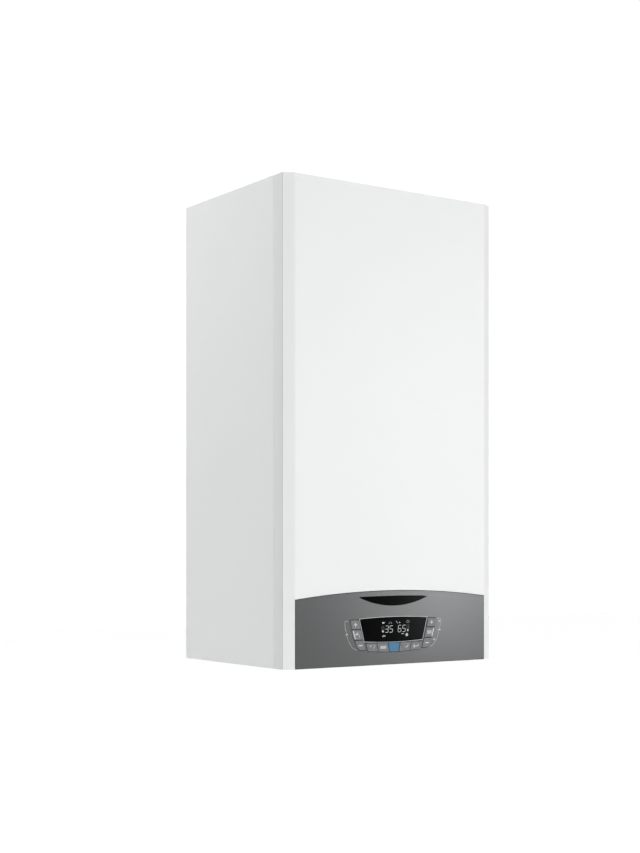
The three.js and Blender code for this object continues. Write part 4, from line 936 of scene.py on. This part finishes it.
part("ch_flow_tail_finished", tail(-133, 13.2, 9, 29.7), "ch_flow_tail")
part("ch_return_tail_finished", tail(133, 13.2, 9, 29.7), "ch_return_tail")
bend = [(0, 0, 28), (0, 0, 60), (0, 3, 72), (0, 12, 80), (0, 29.4, 80)]
swept = lambda x, pts, r, n: tube_mesh(route([(x + a, -135 + b, c) for a, b, c in pts], 0.35, n), r, 28)
part("dhw_outlet_tail_finished", tail(-67, 10.5, 7, 30) + [swept(-67, bend, 8, 60)], "dhw_outlet_tail")
part("gas_tail_finished", tail(0, 13.2, 9, 32) + [swept(0, [(0, 0, 30), (0, 0, 52), (-8, -14, 78), (-32, -52, 112), (-40, -65, 136), (-40, -65, 157.5)], 10, 80)], "gas_tail")
part("cold_inlet_tail_finished", tail(67, 10.5, 7, 30) + [swept(67, bend, 8, 60), box_mesh(70, 110.8, -159, -141, 22, 42, 2.0)], "cold_inlet_tail")
part("tail_unions", [hexed((x, -135, 0), 12.5, 46, 57, "z", 7.5) for x in (-67, 67)] + [hexed((x, 0, 80), 12.5, -116.5, -106, "y", 7.5) for x in (-67, 67)], mat=BR, slot="brass")
lobes = lambda n, r, k, d: [((r - d + k * math.cos(n * a)) * math.cos(a), (r - d + k * math.cos(n * a)) * math.sin(a)) for a in (2 * math.pi * i / (12 * n) for i in range(12 * n))]
part("filling_tap_knob_finished", [
    stack_mesh([[V(100 + x, -150 + y, z) for x, y in lobes(8, 12.8, 0.75, d)] for d, z in ((2.2, 2), (0.6, 2.4), (0, 3.4), (0, 10.2), (0.6, 11.1), (2.0, 11.5))]),
    lathe_mesh([(0, 11), (4, 11), (4, 34), (0, 34)], "z", (100, -150, 0), 24)], "filling_tap_knob")
part("cable_gland_finished", [
    lathe_mesh([(5, 5), (8, 5), (9, 5.8), (9, 7.4), (9, 13.7), (8.2, 13.7), (8.2, 28), (5, 28), (5, 5)], "z", (-168, -215, 0), 40),
    hexed((-168, -215, 0), 10.5, 7, 13.7, "z", 7), hexed((-168, -215, 0), 10.5, 16.2, 21, "z", 7)], "cable_gland")

# water side
refine("plate_heat_exchanger", 0.5, 38, smooth_angle=38)
part("plate_exchanger_bracket", [box_mesh(-26, 26, -66.2, -8.7, 58, 60.4, 0.4), box_mesh(-26, 26, -68, -65.8, 58, 98, 0.4)], mat=M["galvanised"], slot="galvanised")
refine("diverter_valve_body", 1.6, 38, smooth_angle=38, segments=3)
part("diverter_body_ribs", [box_mesh(-156, -110, -166.4, -164, z, z + 2.6, 0.6) for z in (84, 92, 100)] + [box_mesh(-156, -110, -166.4, -164, z, z + 2.6, 0.6) for z in (34, 40)], mat=BP, slot="black_plastic")
refine("diverter_motor", 2.0, 38, smooth_angle=38, segments=3)
part("diverter_motor_trim", [box_mesh(-150, -124, -161.2, -159, 138, 170, 1.0), box_mesh(-145, -129, -166, -160, 140, 150, 1.0)], mat=BP, slot="black_plastic")
part("diverter_clip", [lathe_mesh(rounded([(15, 112.5), (16.4, 112.5), (16.4, 115.2), (15, 115.2), (15, 112.5)], 0.4), "z", (-137, -136, 0), 40)], mat=M["stainless"], slot="stainless")
part("diverter_spindle_finished", [lathe_mesh([(0, 96), (3.4, 96), (4, 96.6), (4, 117), (8.4, 117), (9, 117.6), (9, 120.4), (8.4, 121), (4, 121), (4, 145.4), (3.4, 146), (0, 146)], "z", (-137, -136, 0), 40)], "diverter_spindle")
part("relief_valve_finished", [
    lathe_mesh([(0, -192), (8.4, -192), (9, -191.6), (11, -189), (11, -178), (10.4, -177.4)] + [(0, -177.4)], "y", (-146, 0, 62), 40),
    hexed((-146, 0, 62), 14, -177.4, -168, "y"), lathe_mesh([(0, -168), (11, -168), (11, -165.3), (0, -165.3)], "y", (-146, 0, 62), 40),
    lathe_mesh([(0, 30), (6.4, 30), (7, 30.6), (7, 40), (6.2, 41), (7, 42), (7, 58), (0, 58)], "z", (-146, -181, 0), 32)], "relief_valve")
part("relief_knob_finished", [stack_mesh([[V(-146 + x, y, 62 + z) for x, z in lobes(10, 14.6, 0.75, d)] for d, y in ((3.4, -210), (1.6, -209.6), (0.4, -208.6), (0, -207.2), (0, -194), (0.8, -192.8), (1.8, -192.3))])], "relief_knob")
turn = [[(-146 + 8 * math.cos(a) + u, 62 + 8 * math.sin(a) + v) for u, v in ((0.6 * math.cos(t), 0.6 * math.sin(t)) for t in (0, 1.57, 3.14, 4.71))] for a in (math.radians(30 + 12 * k) for k in range(11))]
marks("relief_knob_mark", turn + [[(-146 + 9.6, 64.5), (-146 + 4.8, 65.6), (-146 + 8.4, 69.4)]], -210, PRINT, "relief_knob", 0.08)
pipe("flow_pipe_finished", "flow_pipe", [(-133, -96, 122.3), (-133, -96, 240), (-126, -102, 280), (-82, -136, 326), (-60, -150, 354), (-60, -150, 379)], 9, 100)
pipe("return_pipe_finished", "return_pipe", [(120, -124, 176.3), (120, -124, 250), (113, -128, 282), (78, -143, 322), (60, -150, 352), (60, -150, 379)], 9, 100)
part("water_unions", [hexed((-133, -96, 0), 14.5, 117.5, 130, "z", 9.1), hexed((120, -124, 0), 14.5, 171.5, 184, "z", 9.1), hexed((-60, -150, 0), 15, 373, 386, "z", 9.1), hexed((60, -150, 0), 15, 373, 386, "z", 9.1)], mat=BR, slot="brass")
refine("pump_housing", 1.8, 38, smooth_angle=38, segments=3)
flange = [(133 + 42.5 * math.cos(math.radians(a)), 120 + 42.5 * math.sin(math.radians(a))) for a in (45, 135, 225, 315)]
part("pump_housing_lugs", [knob((x, 0, z), 6.2, -150.2, -136, "y", 24, 1.0) for x, z in flange], mat=M["cast_iron"], slot="cast_iron")
part("pump_housing_bolts", [hexed((x, 0, z), 4.4, -154, -150.1, "y") for x, z in flange], mat=ZINC, slot="stainless")
refine("pump_impeller", 0.3, 38, smooth_angle=38)
body = [(0, -170), (0, -232), (29, -232), (30.4, -231.4), (33.4, -228.2), (43, -226.2), (44, -225)]
for k in range(9):
    y = -220 + k * 6.6
    body += [(44, y), (43, y + 0.6), (43, y + 2.4), (44, y + 3)]
body += [(44, -159), (43.2, -158), (38, -156), (38, -150.3), (4.4, -150.3), (4.4, -170), (0, -170)]
part("pump_motor_finished", [lathe_mesh(body, "y", (133, 0, 120), 80), box_mesh(103, 163, -222, -164, 150, 170.5, 2.0), box_mesh(102.6, 163.4, -222.4, -163.6, 171.2, 176, 1.6), box_mesh(104, 162, -221, -165, 170, 172, 0)], "pump_motor")
part("pump_vent_screw", [knob((133, 0, 120), 9, -235.2, -231.8, "y", 40, 0.9), box_mesh(126, 140, -235.6, -234.6, 119.2, 120.8, 0.2)], mat=M["stainless"], slot="stainless")
part("pump_cover_screws", [screw_head((x, y, 176), 2.6, 1.6, "z", 1) for x in (108, 158) for y in (-217, -169)], mat=ZINC, slot="stainless")
part("air_vent_finished", [lathe_mesh([(0, 174.3), (8.4, 174.3), (9, 174.9), (9, 180), (12.4, 181.6), (13, 182.4), (13, 211), (12.4, 212.4), (10, 215), (4, 215.4), (4, 221.2), (3.4, 222), (0, 222)], "z", (153, -112, 0), 48),
                           hexed((153, -112, 0), 13, 182, 188, "z")], "air_vent")
trap = [(0, 5), (6.6, 5), (7.4, 5.6), (7.4, 9), (8, 9.6), (7.4, 10.2), (7.4, 13), (8, 13.6), (7.4, 14.2), (8, 16), (8, 30), (11, 32), (11, 112), (20, 120), (20, 170), (20.8, 171), (20.8, 174), (20, 175),
        (20, 262), (22, 263.4)]
trap += [(22, 276), (20, 278), (20, 292), (12, 300), (12, 379.7), (0, 379.7)]
grips = [box_mesh(48 + 21.6 * math.cos(a) - 0.7, 48 + 21.6 * math.cos(a) + 0.7, -215 + 21.6 * math.sin(a) - 0.7, -215 + 21.6 * math.sin(a) + 0.7, 264.4, 275, 0.3) for a in (math.radians(15 * k) for k in range(24))]
part("condensate_trap_finished", [lathe_mesh(trap, "z", (48, -215, 0), 56), *grips], "condensate_trap")
part("trap_clips", [lathe_mesh(rounded([(12, z), (13.4, z), (13.4, z + 7), (12, z + 7), (12, z)], 0.4), "z", (48, -215, 0), 40) for z in (368, 306)], mat=M["stainless"], slot="stainless")

# brackets that carry the heat exchanger
wing = lambda s: [box_mesh(*sorted((s * 104, s * 197.6)), -244.6, -242.8, 486, 514, 0.4), box_mesh(*sorted((s * 195.9, s * 197.7)), -262, -242.8, 480, 520, 0.4),
                  box_mesh(*sorted((s * 100, s * 197.6)), -122, -120.2, 486, 514, 0.4), box_mesh(*sorted((s * 195.9, s * 197.7)), -122, -104, 480, 520, 0.4)]
part("exchanger_brackets", wing(-1) + wing(1), mat=M["galvanised"], slot="galvanised")
part("exchanger_bracket_screws", [screw_head((s * x, -244.6, 500), 3.6, 2.6, "y", -1) for s in (-1, 1) for x in (124, 186)], mat=ZINC, slot="stainless")

# spark generator on the right side, its lead, the terminal block, and the loom
part("spark_generator", [box_mesh(150, 196.5, -270, -222, 548, 592, 2.5)] + [box_mesh(154 + 7 * k, 156.5 + 7 * k, -271.4, -269, 553, 587, 0.6) for k in range(6)]
     + [lathe_mesh([(0, 536), (3.2, 536), (5, 538), (5, 549), (0, 549)], "z", (160, -246, 0), 24), box_mesh(195.5, 198.2, -276, -216, 556, 584, 0.5)], mat=BP, slot="black_plastic")
cable("spark_lead", [(160, -246, 537), (158, -252, 520), (140, -280, 492), (100, -298, 470), (66, -302, 462), (49, -296, 469), (45, -288, 473), (45, -279.5, 473)], 3.0, M["rubber"])
part("electrode_boot", [lathe_mesh([(0, -292), (4.4, -291), (5.6, -288), (5.6, -277.6), (5.0, -277), (0, -277)], "y", electrode, 28)], mat=M["rubber"], slot="rubber")
part("terminal_block", [box_mesh(-196, -126, -252, -232, 16, 38, 1.4)] + [box_mesh(-193 + 11 * k, -185 + 11 * k, -255, -251, 19, 30, 0.8) for k in range(6)], mat=GP, slot="grey_plastic")
part("terminal_screws", [screw_head((-189 + 11 * k, -242, 38), 2.6, 1.6, "z", 1) for k in range(6)], mat=ZINC, slot="stainless")
L = M["rubber"]
cable("loom_left", [(-178, -236, 36), (-190, -226, 70), (-191, -222, 140), (-191, -222, 330), (-191, -222, 520), (-186, -224, 600), (-176, -226, 640), (-168, -227, 655)], 3.4, L)
cable("loom_gas_valve", [(-191, -222, 150), (-180, -236, 176), (-140, -252, 190), (-80, -254, 192), (-40, -252, 189), (-22, -245, 189)], 2.4, L)
cable("loom_bottom", [(-130, -246, 28), (-90, -250, 20.5), (0, -250, 20), (80, -249, 21), (124, -244, 40), (160, -238, 96), (176, -226, 140), (170, -214, 160), (162, -205, 161)], 3.0, L)
cable("loom_right", [(176, -226, 140), (189, -228, 190), (191, -226, 300), (191, -226, 430), (186, -238, 520), (180, -244, 550)], 2.8, L)
cable("flow_sensor_lead", [(-191, -222, 250), (-182, -190, 236), (-160, -130, 214), (-146, -104, 206)], 1.5, L)
cable("return_sensor_lead", [(191, -226, 240), (186, -190, 236), (160, -150, 224), (132, -128, 216)], 1.5, L)
part("water_sensors", [box_mesh(-146, -134, -107, -95, 198, 212, 1.4), box_mesh(120, 133, -137, -124, 208, 222, 1.4)]
     + [lathe_mesh(rounded([(9, z), (10.6, z), (10.6, z + 6), (9, z + 6), (9, z)], 0.4), "z", (x, y, 0), 32) for x, y, z in ((-133, -96, 202), (120, -124, 212))], mat=BP, slot="black_plastic")
part("overheat_thermostat", [knob((78, 0, 500 - 50), 9, -261.4, -259, "y", 32, 0.5), lathe_mesh([(0, -266), (5.4, -266), (6.4, -265), (6.4, -261), (0, -261)], "y", (78, 0, 450), 32)], mat=M["stainless"], slot="stainless")
tie = lambda x, y, z, r: lathe_mesh(rounded([(r, z), (r + 0.9, z), (r + 0.9, z + 2.6), (r, z + 2.6), (r, z)], 0.3), "z", (x, y, 0), 20)
part("loom_ties", [tie(-191, -222, z, 3.4) for z in (200, 300, 400, 500)] + [tie(191, -226, z, 2.8) for z in (260, 360, 430)] + [box_mesh(-198.2, -194, -224, -220, z - 1, z + 3.4, 0.4) for z in (200, 300, 400, 500)]
     + [box_mesh(193.4, 198.2, -228, -224, z - 1, z + 3.4, 0.4) for z in (260, 360, 430)], mat=GP, slot="grey_plastic")

# control box: tray with ribs and cover screws, the board's components, the display module
refine("control_box", 1.4, 38, smooth_angle=38, segments=3)
part("control_box_ribs", [box_mesh(x - 1.2, x + 1.2, -265.6, -263.2, 12, 64, 0.6) for x in range(-150, 151, 30)], mat=BP, body="control_panel", slot="black_plastic")
part("control_box_screws", [screw_head((x, -290, 88), 3.0, 1.8, "z", 1) for x in (-160, -60, 60, 160)], mat=ZINC, body="control_panel", slot="stainless")
refine("main_board", 0.25, 38, smooth_angle=38)
part("board_relays", [box_mesh(x, x + 19, -298.4, -283, z, z + 15, 0.8) for x, z in ((-140, 16), (-116, 16), (-92, 16), (-140, 38), (-116, 38))], mat=M["knob_black"], body="control_panel", slot="knob_black")
part("board_capacitors", [lathe_mesh(rounded([(0, -298.4), (r, -298.4), (r, -298.4 + h), (0, -298.4 + h)], 0.7), "y", (x, 0, z), 32) for x, z, r, h in ((-60, 30, 9, 20), (-60, 56, 6, 15), (-40, 30, 6, 15), (30, 60, 4, 9), (42, 60, 4, 9))], mat=M["stainless"], body="control_panel", slot="stainless")
part("board_connectors", [box_mesh(x, x + 22, -298.4, -288, 66, 77, 0.7) for x in (-20, 8, 60, 88, 116)] + [box_mesh(60, 96, -298.4, -280, 20, 46, 1.0)], mat=GP, body="control_panel", slot="grey_plastic")
part("display_module", [box_mesh(-53, 53, -315.4, -306, 42, 70, 0.8)], mat=BP, body="control_panel", slot="black_plastic")

# screws of the casing, the roof and the hinge
part("roof_screws", [screw_head((s * 186, y, H), 3.4, 2.0, "z", 1) for s in (-1, 1) for y in (-270, -26)]
     + [screw_head((58.4 * math.cos(a), -160 + 58.4 * math.sin(a), H + 2.3), 2.8, 1.8, "z", 1) for a in (math.radians(45 + 90 * k) for k in range(4))], mat=ZINC, slot="stainless")
part("hinge_ear_screws", [screw_head((s * x, -253.6, PZ), 2.8, 1.8, "z", -1) for s in (-1, 1) for x in (166, 150) for PZ in (14,)], mat=ZINC, slot="stainless")

# ------------------------------------------------------------------ stage
# A white studio. The camera sees the backdrop as plain white; the room's own light comes mostly from the front.
world = bpy.data.worlds.new("studio")
bpy.context.scene.world = world
world.use_nodes = True
wn, wl = world.node_tree.nodes, world.node_tree.links
room = wn["Background"]
tc = wn.new("ShaderNodeTexCoord")
dot = wn.new("ShaderNodeVectorMath")
dot.operation = "DOT_PRODUCT"
dot.inputs[1].default_value = (0, -1, 0)
wl.new(tc.outputs["Generated"], dot.inputs[0])
wr = wn.new("ShaderNodeMapRange")
wr.interpolation_type = "SMOOTHSTEP"
wr.inputs["From Min"].default_value = 0.5
wr.inputs["From Max"].default_value = 1.0
wr.inputs["To Min"].default_value = 0.2246
wr.inputs["To Max"].default_value = 0.782
wl.new(dot.outputs["Value"], wr.inputs["Value"])
wl.new(wr.outputs["Result"], room.inputs["Strength"])
room.inputs["Color"].default_value = (1, 1, 1, 1)
backdrop = wn.new("ShaderNodeBackground")
backdrop.inputs["Color"].default_value = (1, 1, 1, 1)
backdrop.inputs["Strength"].default_value = 1.05
path = wn.new("ShaderNodeLightPath")
mix = wn.new("ShaderNodeMixShader")
wl.new(path.outputs["Is Camera Ray"], mix.inputs["Fac"])
wl.new(room.outputs["Background"], mix.inputs[1])
wl.new(backdrop.outputs["Background"], mix.inputs[2])
wl.new(mix.outputs["Shader"], wn["World Output"].inputs["Surface"])

bm = bmesh.new()
bmesh.ops.create_grid(bm, x_segments=1, y_segments=1, size=14)
floor_me = to_mesh(bm, "floor")
floor = bpy.data.objects.new("floor", floor_me)
floor.location = (0, 0, -1.45)
bpy.context.scene.collection.objects.link(floor)
floor_me.materials.append(material("floor_pale", (0.93, 0.93, 0.93, 1), rough=0.9, vary=0.003, vary_scale=1, grain=60, grain_depth=0.0001))


def area(name, loc, target, size, power, size_y=None):
    d = bpy.data.lights.new(name, "AREA")
    d.shape = "RECTANGLE"
    d.size, d.size_y = size, size_y or size
    d.energy = power
    o = bpy.data.objects.new(name, d)
    bpy.context.scene.collection.objects.link(o)
    o.location = loc
    o.rotation_euler = (Vector(target) - Vector(loc)).to_track_quat("-Z", "Y").to_euler()
    o.visible_camera = False
    return o


area("strip_right_low", (1.93, -2.66, -0.65), (0.13, -0.319, -0.65), 0.20, 2.7, 0.4)
area("strip_right_mid", (1.93, -2.66, -0.25), (0.13, -0.319, -0.25), 0.20, 5.6, 0.4)
area("strip_right_high", (1.93, -2.66, 0.15), (0.13, -0.319, 0.15), 0.20, 8.24, 0.4)
area("rear_left_high", (-0.85, 0.2, 0.25), (-0.2, -0.05, -0.2), 0.6, 1.62)
area("rear_left_low", (-0.85, 0.25, -0.35), (-0.2, -0.05, -0.3), 0.6, 0.25)
area("front_left_low", (-1.3, -2.6, -0.5), (-0.2, -0.3, -0.4), 0.5, 3.0, 0.9)
sun = bpy.data.lights.new("overhead", "SUN")
sun.energy, sun.angle = 2.66, math.radians(20)
overhead = bpy.data.objects.new("overhead", sun)
bpy.context.scene.collection.objects.link(overhead)

scene = bpy.context.scene
scene.view_settings.view_transform = "Standard"
scene.view_settings.look = "None"
scene.view_settings.exposure = 0.0
scene.view_settings.gamma = 1.0
